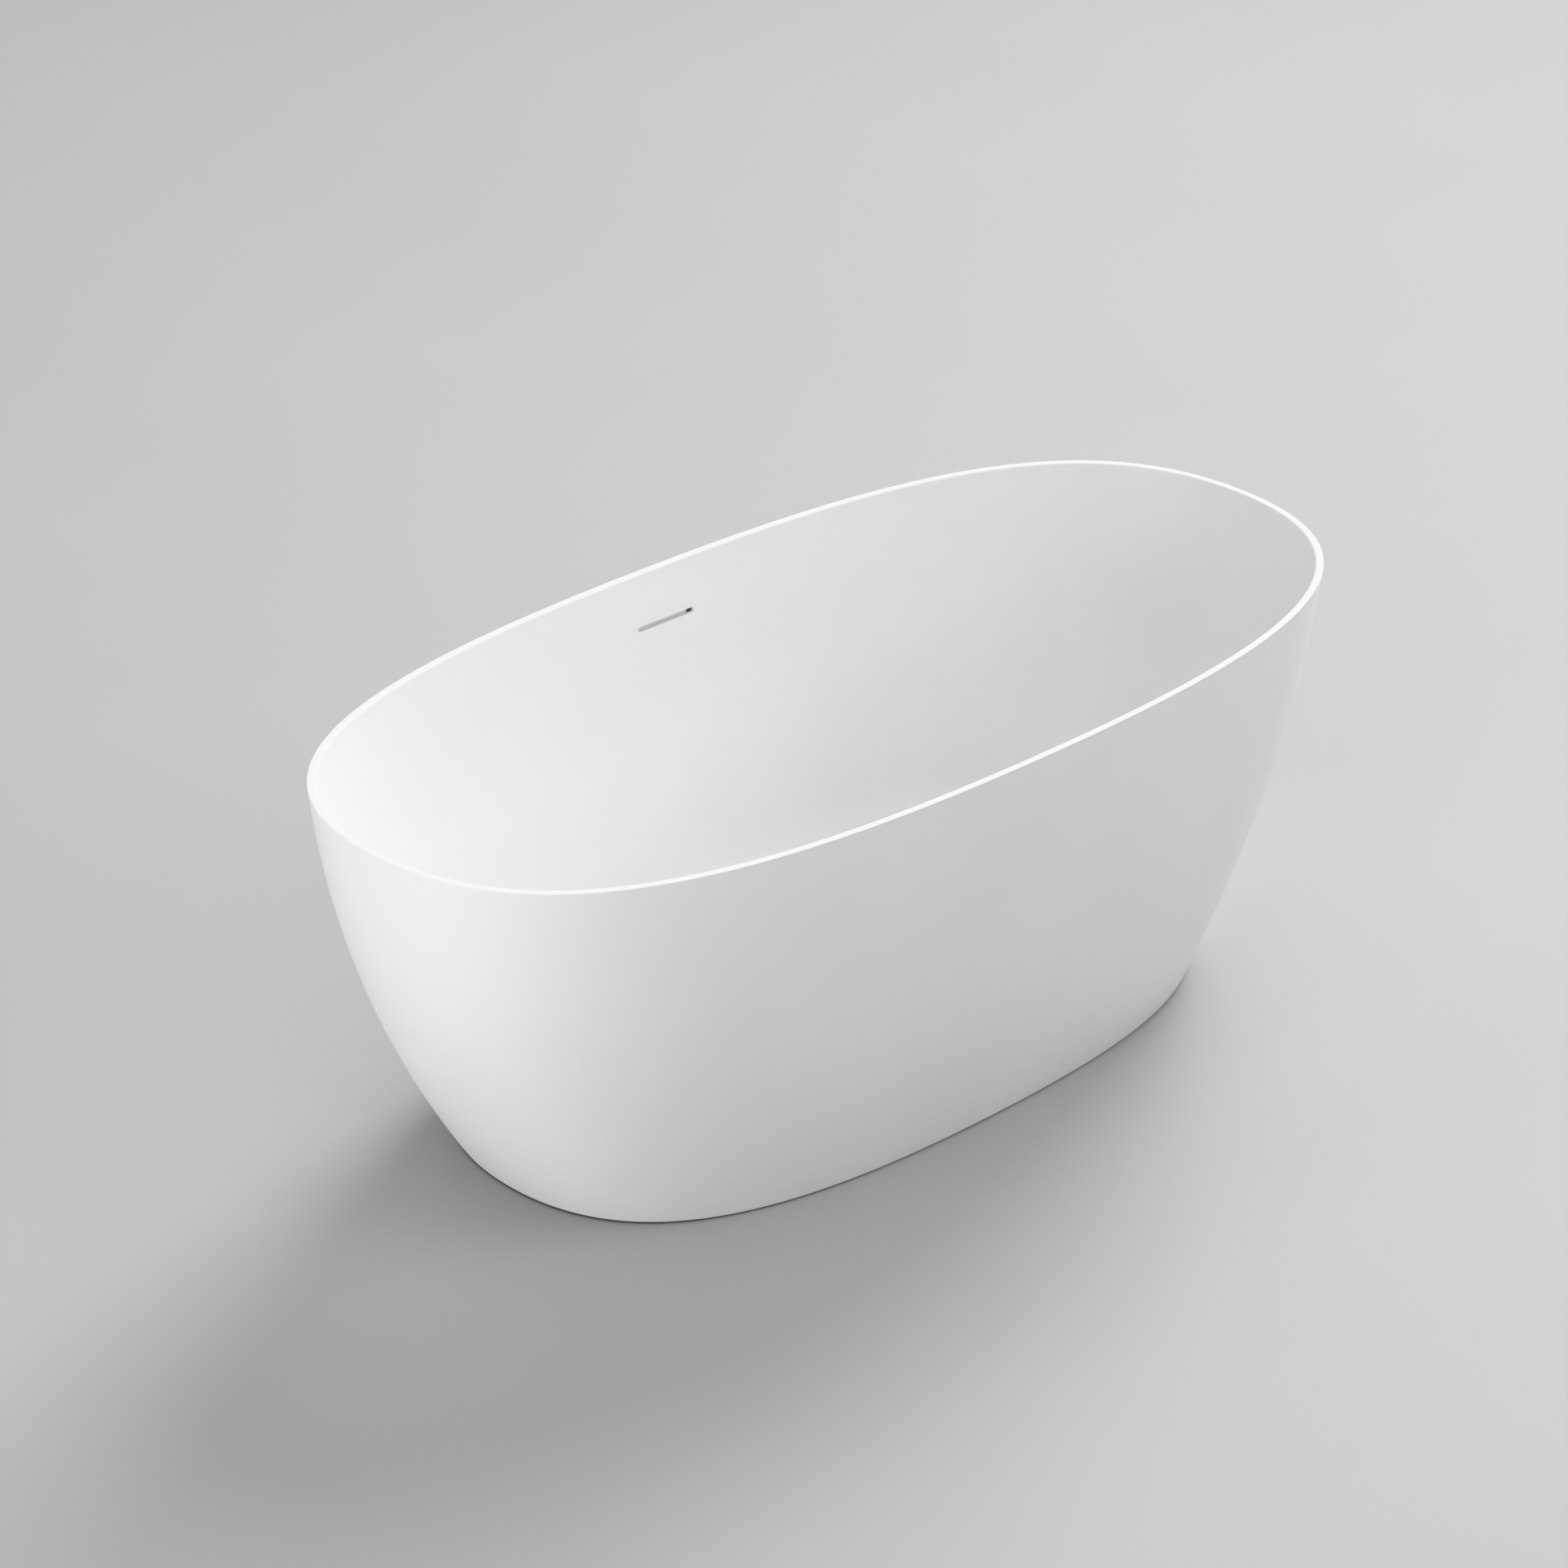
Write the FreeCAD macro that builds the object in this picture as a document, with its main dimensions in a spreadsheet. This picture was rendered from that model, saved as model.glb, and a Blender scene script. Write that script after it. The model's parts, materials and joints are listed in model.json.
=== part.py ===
import FreeCAD, Part

"""Freestanding oval bath with two skins, a levelling frame, and its waste and overflow.

Millimetres. X runs along the bath, Y across it with the overflow on the +Y side, and Z up.
The origin is on the floor, below the middle of the rim.
"""

import math
import os
import re

import Sketcher
from FreeCAD import Placement, Rotation, Vector

SIZES = {
    # Outer skin: rim, belly handle and foot outlines, all the same oval.
    "tub_length": 1700,
    "tub_width": 800,
    "tub_height": 600,
    "belly_length": 1624,
    "belly_width": 770,
    "belly_height": 290,
    "base_length": 1250,
    "base_width": 650,
    "floor_gap": 3,
    "oval_side": 0.84,
    "oval_end": 0.57,
    "skirt_thick": 4,
    # Rim.
    "rim_width": 12,
    "rim_thick": 5,
    "rim_edge": 1.5,
    "rim_lean": 0.5,
    "rim_round": 5,
    # Basin: wall handle, wall foot and floor outlines.
    "wall_mid_length": 1550,
    "wall_mid_width": 676,
    "wall_mid_height": 400,
    "wall_foot_length": 1250,
    "wall_foot_width": 560,
    "wall_foot_height": 190,
    "floor_length": 1040,
    "floor_width": 450,
    "floor_height": 130,
    "basin_thick": 5,
    # Overflow slot, and the plumbing line that the drain shares with it.
    "slot_length": 108,
    "slot_height": 7,
    "slot_middle": 523,
    "slot_back": 374.2,
    "plumbing_x": 13,
    "wall_lean": 14.6,
    # Stiffening ring inside the foot of the skirt.
    "ring_height": 12,
    "ring_width": 40,
    "ring_bottom": 8,
    "ring_length": 1247,
    "ring_breadth": 643,
    # Board under the basin floor.
    "board_length": 900,
    "board_width": 360,
    "board_corner": 90,
    "board_thick": 12,
    "board_hole": 55,
    # Square-tube frame.
    "tube": 30,
    "tube_wall": 2,
    "cross_x": 380,
    "cross_length": 400,
    "rail_y": 120,
    "cap_thick": 3,
    "cap_plug": 12,
    "cap_plug_gap": 0.1,
    "screw_shank": 2.5,
    "screw_head": 6,
    "screw_head_thick": 4,
    "screw_grip": 8,
    "screw_spacing": 300,
    # Levelling feet.
    "foot_y": 165,
    "rod_radius": 6,
    "rod_bottom": 8.3,
    "rod_top": 108,
    "collar_width": 17,
    "collar_bottom": 24,
    "collar_height": 8,
    "weld_nut_width": 19,
    "weld_nut_height": 10,
    "lock_nut_width": 19,
    "lock_nut_height": 7,
    "pad_radius": 25,
    "pad_edge": 6,
    "pad_slope": 5,
    "pad_boss_radius": 12,
    "pad_boss_top": 19,
    "thread_clearance": 0.05,
    "socket_clearance": 0.3,
    # Overflow housing, in its own frame on the back of the basin wall.
    "gasket_thick": 2,
    "gasket_margin": 8,
    "housing_width": 132,
    "housing_top": 14,
    "housing_shoulder": 20,
    "housing_neck_width": 36,
    "housing_bottom": 104,
    "housing_depth": 10,
    "housing_wall": 2,
    "housing_gap": 0.3,
    "housing_mouth_margin": 2,
    "housing_mouth_rise": 4,
    "housing_lip_top": 1,
    "housing_lip_end": 46,
    "sump_depth": 25,
    "sump_height": 26,
    "spigot_offset": 19.5,
    "spigot_radius": 12.4,
    "spigot_bore": 9.5,
    "spigot_length": 24,
    # Overflow hose and its clamps.
    "hose_radius": 15,
    "hose_bore": 12.5,
    "hose_bend": 180,
    "hose_level": 58,
    "clamp_thick": 1,
    "clamp_width": 12,
    "clamp_lug": 9,
    "hose_end_gap": 1,
    # Waste: boss and recess in the floor, flange, body and outlet.
    "drain_boss": 50,
    "drain_boss_depth": 10,
    "drain_boss_bite": 1,
    "drain_recess": 37,
    "drain_recess_depth": 4,
    "drain_hole": 26,
    "flange_radius": 36,
    "flange_thick": 3,
    "flange_chamfer": 1,
    "flange_gasket": 1.5,
    "flange_seat": 29,
    "flange_seat_depth": 1.5,
    "flange_bore": 20,
    "flange_tail": 24,
    "flange_tail_bottom": 92,
    "spider_hub": 10,
    "spider_bottom": 96,
    "spider_height": 6,
    "spider_arm": 4,
    "body_gasket": 2,
    "body_flange_radius": 40,
    "body_flange_thick": 4,
    "body_radius": 30,
    "body_bottom": 45,
    "neck_radius": 24,
    "neck_bottom": 30,
    "branch_end": 62,
    "branch_bite": 1,
    "tail_radius": 20,
    "tail_bore": 17.5,
    "tail_top": 60,
    "tail_bottom": 4,
    "tail_step": 21,
    "tail_shoulder": 20.6,
    "tail_collar": 23.5,
    "tail_collar_thick": 2.7,
    "outlet_nut_width": 60,
    "outlet_nut_bottom": 22,
    "outlet_nut_top": 42,
    "outlet_washer": 3,
    # Click-clack plug.
    "cap_radius": 31.5,
    "cap_edge": 2,
    "cap_dome": 3.2,
    "cap_gap": 0.3,
    "seal_inner": 22,
    "seal_outer": 27.5,
    "stem_radius": 4,
    "stem_bottom": 93,
    "cartridge_radius": 8,
    "cartridge_top": 112,
    "cartridge_bottom": 84,
    "cartridge_floor": 88,
    "running_clearance": 0.1,
}

SIDES = {"left": -1, "right": 1}
ROWS = {"front": -1, "rear": 1}
CORNERS = {f"{row}_{side}": (SIDES[side], ROWS[row]) for row in ROWS for side in SIDES}

doc = FreeCAD.newDocument("freestanding_bath")
sheet = doc.addObject("Spreadsheet::Sheet", "sizes")
for row_number, (alias, value) in enumerate(SIZES.items(), start=1):
    sheet.set(f"A{row_number}", alias)
    sheet.set(f"B{row_number}", str(value))
    sheet.setAlias(f"B{row_number}", alias)
doc.recompute()

SUB_PARTS = []


# Helpers ------------------------------------------------------------------------------------

def size(alias):
    """The sheet's value, for shapes that are set in code."""
    return float(sheet.get(alias))


def bind(feature, prop, formula):
    """Binds a property to a formula whose words are aliases on the sheet."""
    feature.setExpression(prop, re.sub(r"[a-z]\w*", lambda word: "sizes." + word.group(), str(formula)))


def place(feature, x=0, y=0, z=0):
    for axis, formula in zip("xyz", (x, y, z)):
        bind(feature, f"Placement.Base.{axis}", formula)
    return feature


def sub_part(feature, label):
    """Gives a finished sub-part its label, which names its file."""
    feature.Label = label
    SUB_PARTS.append(feature)
    return feature


def box(name, length, width, height, x, y, z):
    """A box given by its sides and its lowest corner."""
    feature = doc.addObject("Part::Box", name)
    bind(feature, "Length", length)
    bind(feature, "Width", width)
    bind(feature, "Height", height)
    return place(feature, x, y, z)


def cylinder(name, radius, height, x=0, y=0, z=0, along=None):
    """A cylinder given by its radius, height and the middle of its first end."""
    feature = doc.addObject("Part::Cylinder", name)
    bind(feature, "Radius", radius)
    bind(feature, "Height", height)
    if along is not None:
        feature.Placement.Rotation = Rotation(Vector(0, 0, 1), along)
    return place(feature, x, y, z)


def hexagon(name, flats, height, x=0, y=0, z=0):
    """A hexagonal prism given by its width across the flats."""
    feature = doc.addObject("Part::Prism", name)
    feature.Polygon = 6
    bind(feature, "Circumradius", f"({flats}) / {math.sqrt(3):.6f}")
    bind(feature, "Height", height)
    return place(feature, x, y, z)


def fuse(name, pieces):
    feature = doc.addObject("Part::MultiFuse", name)
    feature.Shapes = pieces
    return feature


def group(name, pieces):
    """Keeps identical fasteners together as separate solids."""
    feature = doc.addObject("Part::Compound", name)
    feature.Links = pieces
    return feature


def cut(name, base, tools):
    feature = doc.addObject("Part::Cut", name)
    feature.Base = base
    feature.Tool = tools[0] if len(tools) == 1 else fuse(name + "_tools", tools)
    return feature


def washer(name, outer, inner, height, x, y, z):
    return cut(name, cylinder(name + "_disc", outer, height, x, y, z),
               [cylinder(name + "_hole", inner, height, x, y, z)])


def body(name):
    return doc.addObject("PartDesign::Body", name)


def sketch_on(owner, name, plane_role):
    sketch = owner.newObject("Sketcher::SketchObject", name)
    plane = next(item for item in owner.Origin.OriginFeatures if item.Role == plane_role)
    sketch.AttachmentSupport = [(plane, "")]
    sketch.MapMode = "FlatFace"
    return sketch


def outline(sketch, corners):
    """A closed polygon whose corners are pairs of formulas, held by distances from the origin."""
    first = sketch.GeometryCount
    count = len(corners)
    rough = [Vector(100 * math.cos(math.tau * i / count), 100 * math.sin(math.tau * i / count), 0)
             for i in range(count)]
    for i in range(count):
        sketch.addGeometry(Part.LineSegment(rough[i], rough[(i + 1) % count]), False)
    for i in range(count):
        sketch.addConstraint(Sketcher.Constraint("Coincident", first + i, 2, first + (i + 1) % count, 1))
    for i, (across, up) in enumerate(corners):
        for kind, start, formula in (("DistanceX", rough[i].x, across), ("DistanceY", rough[i].y, up)):
            index = sketch.addConstraint(Sketcher.Constraint(kind, -1, 1, first + i, 1, start))
            bind(sketch, f"Constraints[{index}]", formula)


def turned(label, corners, x="plumbing_x", y=0):
    """A piece turned about a vertical axis from a half section of (radius, height) corners."""
    owner = body(label)
    section = sketch_on(owner, label + "_section", "XZ_Plane")
    outline(section, corners)
    revolution = owner.newObject("PartDesign::Revolution", label + "_turned")
    revolution.Profile = section
    revolution.ReferenceAxis = (section, ["V_Axis"])
    revolution.Angle = 360
    return place(owner, x, y, 0)


# Oval skins ---------------------------------------------------------------------------------

def oval(length, width, height):
    """A level oval: its half length, half width and height."""
    return length / 2, width / 2, height


def inset(section, amount):
    return section[0] - amount, section[1] - amount, section[2]


def halfway(first, second):
    return tuple((a + b) / 2 for a, b in zip(first, second))


def quadrant(section, sign_x, sign_y):
    """The four poles of a quarter of an oval, from its end on X to its side on Y."""
    half_length, half_width, height = section
    return [Vector(sign_x * half_length * along, sign_y * half_width * across, height)
            for along, across in ((1, 0), (1, size("oval_side")), (size("oval_end"), 1), (0, 1))]


QUADRANTS = ((1, 1), (-1, 1), (-1, -1), (1, -1))


def skin(sections):
    """Bands through ovals: every second one is touched, and those between are the handles."""
    faces = []
    for start in range(0, len(sections) - 1, 2):
        for sign_x, sign_y in QUADRANTS:
            rows = [quadrant(section, sign_x, sign_y) for section in sections[start:start + 3]]
            poles = [[row[i] for row in rows] for i in range(4)]
            surface = Part.BSplineSurface()
            surface.buildFromPolesMultsKnots(poles, (4, 4), (3, 3), (0, 1), (0, 1), False, False, 3, 2)
            faces.append(surface.toShape())
    return faces


def flat_oval(section):
    edges = []
    for sign_x, sign_y in QUADRANTS:
        curve = Part.BezierCurve()
        curve.setPoles(quadrant(section, sign_x, sign_y))
        edges.append(curve.toShape())
    return Part.Face(Part.Wire(Part.__sortEdges__(edges)))


def closed_solid(faces):
    shell = Part.Shell(faces)
    shell.sewShape()
    solid = Part.Solid(shell)
    if solid.Volume < 0:
        solid.reverse()
    return solid


def shape_feature(name, shape):
    feature = doc.addObject("Part::Feature", name)
    feature.Shape = shape
    feature.Placement = Placement()
    return feature


# Shells -------------------------------------------------------------------------------------

def wall_handle(foot, middle, height):
    """Carries the wall's own slope on below its foot, so that it rolls into the floor."""
    share = (foot[2] - height) / (middle[2] - foot[2])
    return foot[0] - (middle[0] - foot[0]) * share, foot[1] - (middle[1] - foot[1]) * share, height


def basin_blank():
    """The basin and its rim, before the slot and the drain are cut."""
    top = size("tub_height")
    seam = top - size("rim_thick")
    rim = oval(size("tub_length"), size("tub_width"), top)
    inner = inset(rim, size("rim_width"))
    wall_top = inner[:2] + (top - size("rim_round"),)
    middle = oval(size("wall_mid_length"), size("wall_mid_width"), size("wall_mid_height"))
    foot = oval(size("wall_foot_length"), size("wall_foot_width"), size("wall_foot_height"))
    floor = oval(size("floor_length"), size("floor_width"), size("floor_height"))
    flat_inner = inset(inner, -size("rim_round"))
    flat_outer = inset(rim, size("rim_edge"))
    edge_foot = rim[:2] + (top - size("rim_edge"),)
    seam_outer = inset(rim, size("rim_lean"))[:2] + (seam,)
    front = [floor, wall_handle(foot, middle, floor[2]), foot, middle, wall_top, inner, flat_inner,
             halfway(flat_inner, flat_outer), flat_outer, rim, edge_foot,
             halfway(edge_foot, seam_outer), seam_outer]

    thick = size("basin_thick")
    back_top = inset(wall_top, -thick)[:2] + (seam,)
    back_middle = inset(middle, -thick)
    back_foot = inset(foot, -thick)
    back_floor = floor[:2] + (floor[2] - thick,)
    back = [seam_outer, halfway(seam_outer, back_top), back_top, back_middle, back_foot,
            wall_handle(back_foot, back_middle, back_floor[2]), back_floor]
    return closed_solid(skin(front) + skin(back) + [flat_oval(floor), flat_oval(back_floor)])


def skirt_blank():
    """The outer skin, whose top edge closes under the rim and whose foot clears the floor."""
    seam = size("tub_height") - size("rim_thick")
    top = inset(oval(size("tub_length"), size("tub_width"), seam), size("rim_lean"))
    belly = oval(size("belly_length"), size("belly_width"), size("belly_height"))
    foot = oval(size("base_length"), size("base_width"), size("floor_gap"))
    outside = [top, belly, foot]
    inside = [inset(section, size("skirt_thick")) for section in outside]
    rings = [inside[0], halfway(inside[0], top), top], [foot, halfway(foot, inside[2]), inside[2]]
    faces = skin(outside) + skin(inside)
    for ring in rings:
        faces += skin(list(ring))
    return closed_solid(faces)


def ring_blank():
    low = oval(size("ring_length"), size("ring_breadth"), size("ring_bottom"))
    high = low[:2] + (low[2] + size("ring_height"),)
    low_inner = inset(low, size("ring_width"))
    high_inner = inset(high, size("ring_width"))
    loop = [low, high, high_inner, low_inner, low]
    faces = []
    for first, second in zip(loop, loop[1:]):
        faces += skin([first, halfway(first, second), second])
    return closed_solid(faces)


def make_shells():
    half_slot = "slot_height / 2"
    reach = "6 * basin_thick"
    slot_y = "slot_back - 4 * basin_thick"
    across = Vector(0, 1, 0)
    slot = fuse("slot_cutter", [
        box("slot_cutter_middle", "slot_length - slot_height", reach, "slot_height",
            "plumbing_x - (slot_length - slot_height) / 2", slot_y, f"slot_middle - {half_slot}"),
        cylinder("slot_cutter_left", half_slot, reach,
                 "plumbing_x - (slot_length - slot_height) / 2", slot_y, "slot_middle", across),
        cylinder("slot_cutter_right", half_slot, reach,
                 "plumbing_x + (slot_length - slot_height) / 2", slot_y, "slot_middle", across)])
    drain = cylinder("drain_cutter", "drain_hole", "tub_height", "plumbing_x", 0, 0)
    recess = cylinder("recess_cutter", "drain_recess", "tub_height", "plumbing_x", 0,
                      "floor_height - drain_recess_depth")
    boss = cylinder("drain_boss_disc", "drain_boss", "drain_boss_depth - drain_boss_bite", "plumbing_x", 0,
                    "floor_height - drain_boss_depth")
    basin = fuse("basin_with_boss", [shape_feature("basin_blank", basin_blank()), boss])
    sub_part(cut("inner_shell", basin, [slot, drain, recess]), "inner_shell")
    sub_part(shape_feature("outer_skirt", skirt_blank()), "outer_skirt")
    sub_part(shape_feature("skirt_base_ring", ring_blank()), "skirt_base_ring")


# Board and frame ----------------------------------------------------------------------------

BOARD_TOP = "floor_height - basin_thick"
TUBE_TOP = f"{BOARD_TOP} - board_thick"
TUBE_BOTTOM = f"{TUBE_TOP} - tube"


def screw_places():
    """Where screws hold the rails up to the board: three along each rail."""
    for row, sign_y in ROWS.items():
        for number, step in enumerate((-1, 0, 1), start=1):
            yield f"{row}_{number}", f"{step} * screw_spacing", f"{sign_y} * rail_y"


def screw_holes(prefix, rows):
    return [cylinder(f"{prefix}_{name}", "screw_shank + thread_clearance", "tub_height / 2", x, y, 0)
            for name, x, y in screw_places() if name.split("_")[0] in rows]


def make_board():
    owner = body("base_board_panel")
    section = sketch_on(owner, "base_board_outline", "XY_Plane")
    outline(section, [(f"{sign_x} * board_length / 2", f"{sign_y} * board_width / 2")
                      for sign_x, sign_y in QUADRANTS])
    pad = owner.newObject("PartDesign::Pad", "base_board_pad")
    pad.Profile = section
    bind(pad, "Length", "board_thick")
    doc.recompute()
    uprights = [f"Edge{i}" for i, edge in enumerate(pad.Shape.Edges, start=1)
                if abs(edge.tangentAt(edge.FirstParameter).z) > 0.99]
    corner = owner.newObject("PartDesign::Fillet", "base_board_corners")
    corner.Base = (pad, uprights)
    bind(corner, "Radius", "board_corner")
    place(owner, 0, 0, f"{BOARD_TOP} - board_thick")
    opening = cylinder("board_waste_hole", "board_hole", "tub_height", "plumbing_x", 0, 0)
    pilots = [cylinder(f"board_pilot_{name}", "screw_shank + thread_clearance", "tube + board_thick",
                       x, y, f"{TUBE_BOTTOM} - board_thick + screw_grip") for name, x, y in screw_places()]
    sub_part(cut("base_board", owner, [opening] + pilots), "base_board")


def square_tube(name, length, along_x, x, y, extra_cuts):
    """A square tube under the board, open at both ends, running along X or Y."""
    wide, deep = (length, "tube") if along_x else ("tube", length)
    hollow = "tube - 2 * tube_wall"
    outer = box(name + "_outer", wide, deep, "tube", f"{x} - ({wide}) / 2", f"{y} - ({deep}) / 2",
                TUBE_BOTTOM)
    in_wide, in_deep = (length, hollow) if along_x else (hollow, length)
    inner = box(name + "_inner", in_wide, in_deep, hollow, f"{x} - ({in_wide}) / 2",
                f"{y} - ({in_deep}) / 2", f"{TUBE_BOTTOM} + tube_wall")
    return cut(name, outer, [inner] + extra_cuts)


def make_frame():
    for row, sign_y in ROWS.items():
        name = f"frame_rail_{row}"
        holes = screw_holes(f"{name}_hole", (row,))
        sub_part(square_tube(name, "2 * cross_x - tube", True, 0, f"{sign_y} * rail_y", holes), name)
    caps = []
    for side, sign_x in SIDES.items():
        name = f"frame_cross_{side}"
        holes = [cylinder(f"{name}_foot_hole_{row}", "rod_radius + 2 * socket_clearance", "tube",
                          f"{sign_x} * cross_x", f"{sign_y} * foot_y", f"{TUBE_BOTTOM} - tube / 2")
                 for row, sign_y in ROWS.items()]
        sub_part(square_tube(name, "cross_length", False, f"{sign_x} * cross_x", 0, holes), name)
        for row, sign_y in ROWS.items():
            caps.append(end_cap(f"end_cap_{row}_{side}", sign_x, sign_y))
    sub_part(group("frame_end_caps", caps), "frame_end_caps")
    sub_part(group("frame_screws", [frame_screw(*where) for where in screw_places()]), "frame_screws")


def end_cap(name, sign_x, sign_y):
    """A plastic cap: a plate over the tube's end and a plug inside it."""
    plug_side = "tube - 2 * tube_wall - 2 * cap_plug_gap"
    plate_y = "cross_length / 2" if sign_y > 0 else "-cross_length / 2 - cap_thick"
    plug_y = "cross_length / 2 - cap_plug" if sign_y > 0 else "-cross_length / 2"
    plate = box(name + "_plate", "tube", "cap_thick", "tube",
                f"{sign_x} * cross_x - tube / 2", plate_y, TUBE_BOTTOM)
    plug = box(name + "_plug", plug_side, "cap_plug", plug_side, f"{sign_x} * cross_x - ({plug_side}) / 2",
               plug_y, f"{TUBE_BOTTOM} + tube_wall + cap_plug_gap")
    return fuse(name, [plate, plug])


def frame_screw(name, x, y):
    head = cylinder(f"screw_head_{name}", "screw_head", "screw_head_thick", x, y,
                    f"{TUBE_BOTTOM} - screw_head_thick")
    shank = cylinder(f"screw_shank_{name}", "screw_shank", "tube + screw_grip", x, y, TUBE_BOTTOM)
    return fuse(f"screw_{name}", [head, shank])


# Levelling feet -----------------------------------------------------------------------------

def threaded_nut(name, width, height, x, y, z):
    return cut(name, hexagon(name + "_blank", width, height, x, y, z),
               [cylinder(name + "_thread", "rod_radius + thread_clearance", height, x, y, z)])


def make_feet():
    weld_nuts = []
    lock_nuts = []
    weld_z = f"{TUBE_BOTTOM} - weld_nut_height"
    lock_z = f"{weld_z} - lock_nut_height"
    for corner, (sign_x, sign_y) in CORNERS.items():
        x, y = f"{sign_x} * cross_x", f"{sign_y} * foot_y"
        for kind, nuts, z in (("weld_nut", weld_nuts, weld_z), ("lock_nut", lock_nuts, lock_z)):
            nuts.append(threaded_nut(f"{kind}_{corner}", f"{kind}_width", f"{kind}_height", x, y, z))
        rod = cylinder(f"rod_stud_{corner}", "rod_radius", "rod_top - rod_bottom", x, y, "rod_bottom")
        collar = hexagon(f"rod_collar_{corner}", "collar_width", "collar_height", x, y, "collar_bottom")
        sub_part(fuse(f"foot_rod_{corner}", [rod, collar]), f"foot_rod_{corner}")
        socket = "rod_radius + socket_clearance"
        pad = turned(f"foot_pad_{corner}", [
            (0, 0), ("pad_radius", 0), ("pad_radius", "pad_edge"),
            ("pad_boss_radius", "pad_edge + pad_slope"),
            ("pad_boss_radius", "pad_boss_top"), (socket, "pad_boss_top"),
            (socket, "rod_bottom - socket_clearance"), (0, "rod_bottom - socket_clearance")], x, y)
        sub_part(pad, f"foot_pad_{corner}")
    sub_part(group("foot_weld_nuts", weld_nuts), "foot_weld_nuts")
    sub_part(group("foot_lock_nuts", lock_nuts), "foot_lock_nuts")


# Overflow -----------------------------------------------------------------------------------

def lean_on_wall(owner):
    """Sets a body whose Y points out of the basin wall and whose Z runs up its back."""
    owner.Placement.Rotation = Rotation(Vector(1, 0, 0), -size("wall_lean"))
    return place(owner, "plumbing_x", "slot_back", "slot_middle")


def slab(owner, name, corners, depth, offset, subtract=False):
    """A plate or pocket in the wall's own plane, from an outline of (across, up) corners."""
    section = sketch_on(owner, name + "_outline", "XZ_Plane")
    bind(section, "AttachmentOffset.Base.z", f"-({offset})")
    outline(section, corners)
    feature = owner.newObject("PartDesign::Pocket" if subtract else "PartDesign::Pad", name)
    feature.Profile = section
    feature.Reversed = not subtract
    bind(feature, "Length", depth)
    return feature


def mirrored_corners(right_side):
    """An outline symmetric about the plumbing line, from the corners of its right half."""
    left_side = [(f"-({across})", up) for across, up in reversed(right_side)]
    return right_side + left_side


def make_overflow():
    gasket = body("overflow_gasket")
    half_wide = "slot_length / 2 + gasket_margin"
    half_high = "slot_height / 2 + gasket_margin"
    slab(gasket, "gasket_plate", mirrored_corners([(half_wide, f"-({half_high})"), (half_wide, half_high)]),
         "gasket_thick", "housing_gap")
    mouth_end = "slot_length / 2 + housing_mouth_margin"
    mouth_low = "-slot_height / 2 - housing_mouth_margin"
    mouth_high = "slot_height / 2 + housing_mouth_rise"
    mouth = mirrored_corners([(mouth_end, mouth_low), (mouth_end, mouth_high)])
    slab(gasket, "gasket_opening", mouth, "2 * gasket_thick", 0, subtract=True)
    sub_part(lean_on_wall(gasket), "overflow_gasket")

    housing = body("overflow_housing")
    front = "housing_gap + gasket_thick"
    wall = "housing_wall"
    slab(housing, "housing_plate", mirrored_corners([
        ("housing_neck_width / 2", "-housing_bottom"), ("housing_width / 2", "-housing_shoulder"),
        ("housing_width / 2", "housing_top")]), "housing_depth", front)
    sump_low = "-housing_bottom - sump_height / 2"
    sump_high = "-housing_bottom + sump_height / 2"
    slab(housing, "housing_sump", mirrored_corners([
        ("sump_depth / 2", sump_low), ("sump_depth / 2", sump_high)]), "sump_depth",
        "spigot_offset - sump_depth / 2")
    spigot = sketch_on(housing, "housing_spigot_outline", "XY_Plane")
    circle(spigot, 0, "spigot_offset", "spigot_radius")
    bind(spigot, "AttachmentOffset.Base.z", sump_low)
    stub = housing.newObject("PartDesign::Pad", "housing_spigot")
    stub.Profile = spigot
    stub.Reversed = True
    bind(stub, "Length", "spigot_length")

    slab(housing, "housing_hollow", mirrored_corners([
        (f"housing_neck_width / 2 - {wall}", "-housing_bottom"),
        (f"housing_width / 2 - {wall}", "-housing_shoulder"),
        (f"housing_width / 2 - {wall}", f"housing_top - {wall}")]),
        f"housing_depth - 2 * {wall}", f"{front} + {wall}", subtract=True)
    # The housing's front stands behind the slot as a lip. Water passes over it and past its +X end.
    past_lip = [
        (mouth_end, mouth_low), (mouth_end, mouth_high), (f"-({mouth_end})", mouth_high),
        (f"-({mouth_end})", "housing_lip_top"), ("housing_lip_end", "housing_lip_top"),
        ("housing_lip_end", mouth_low)]
    slab(housing, "housing_mouth", past_lip, f"2 * {wall}", f"{front} - {wall}", subtract=True)
    slab(housing, "sump_hollow", mirrored_corners([
        (f"sump_depth / 2 - {wall}", f"{sump_low} + {wall}"),
        (f"sump_depth / 2 - {wall}", f"{sump_high} - {wall}")]),
        f"sump_depth - 2 * {wall}", f"spigot_offset - sump_depth / 2 + {wall}", subtract=True)
    bore = sketch_on(housing, "housing_bore_outline", "XY_Plane")
    circle(bore, 0, "spigot_offset", "spigot_bore")
    bind(bore, "AttachmentOffset.Base.z", f"{sump_low} + 2 * {wall}")
    drilling = housing.newObject("PartDesign::Pocket", "housing_bore")
    drilling.Profile = bore
    bind(drilling, "Length", f"spigot_length + 4 * {wall}")
    sub_part(lean_on_wall(housing), "overflow_housing")


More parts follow.
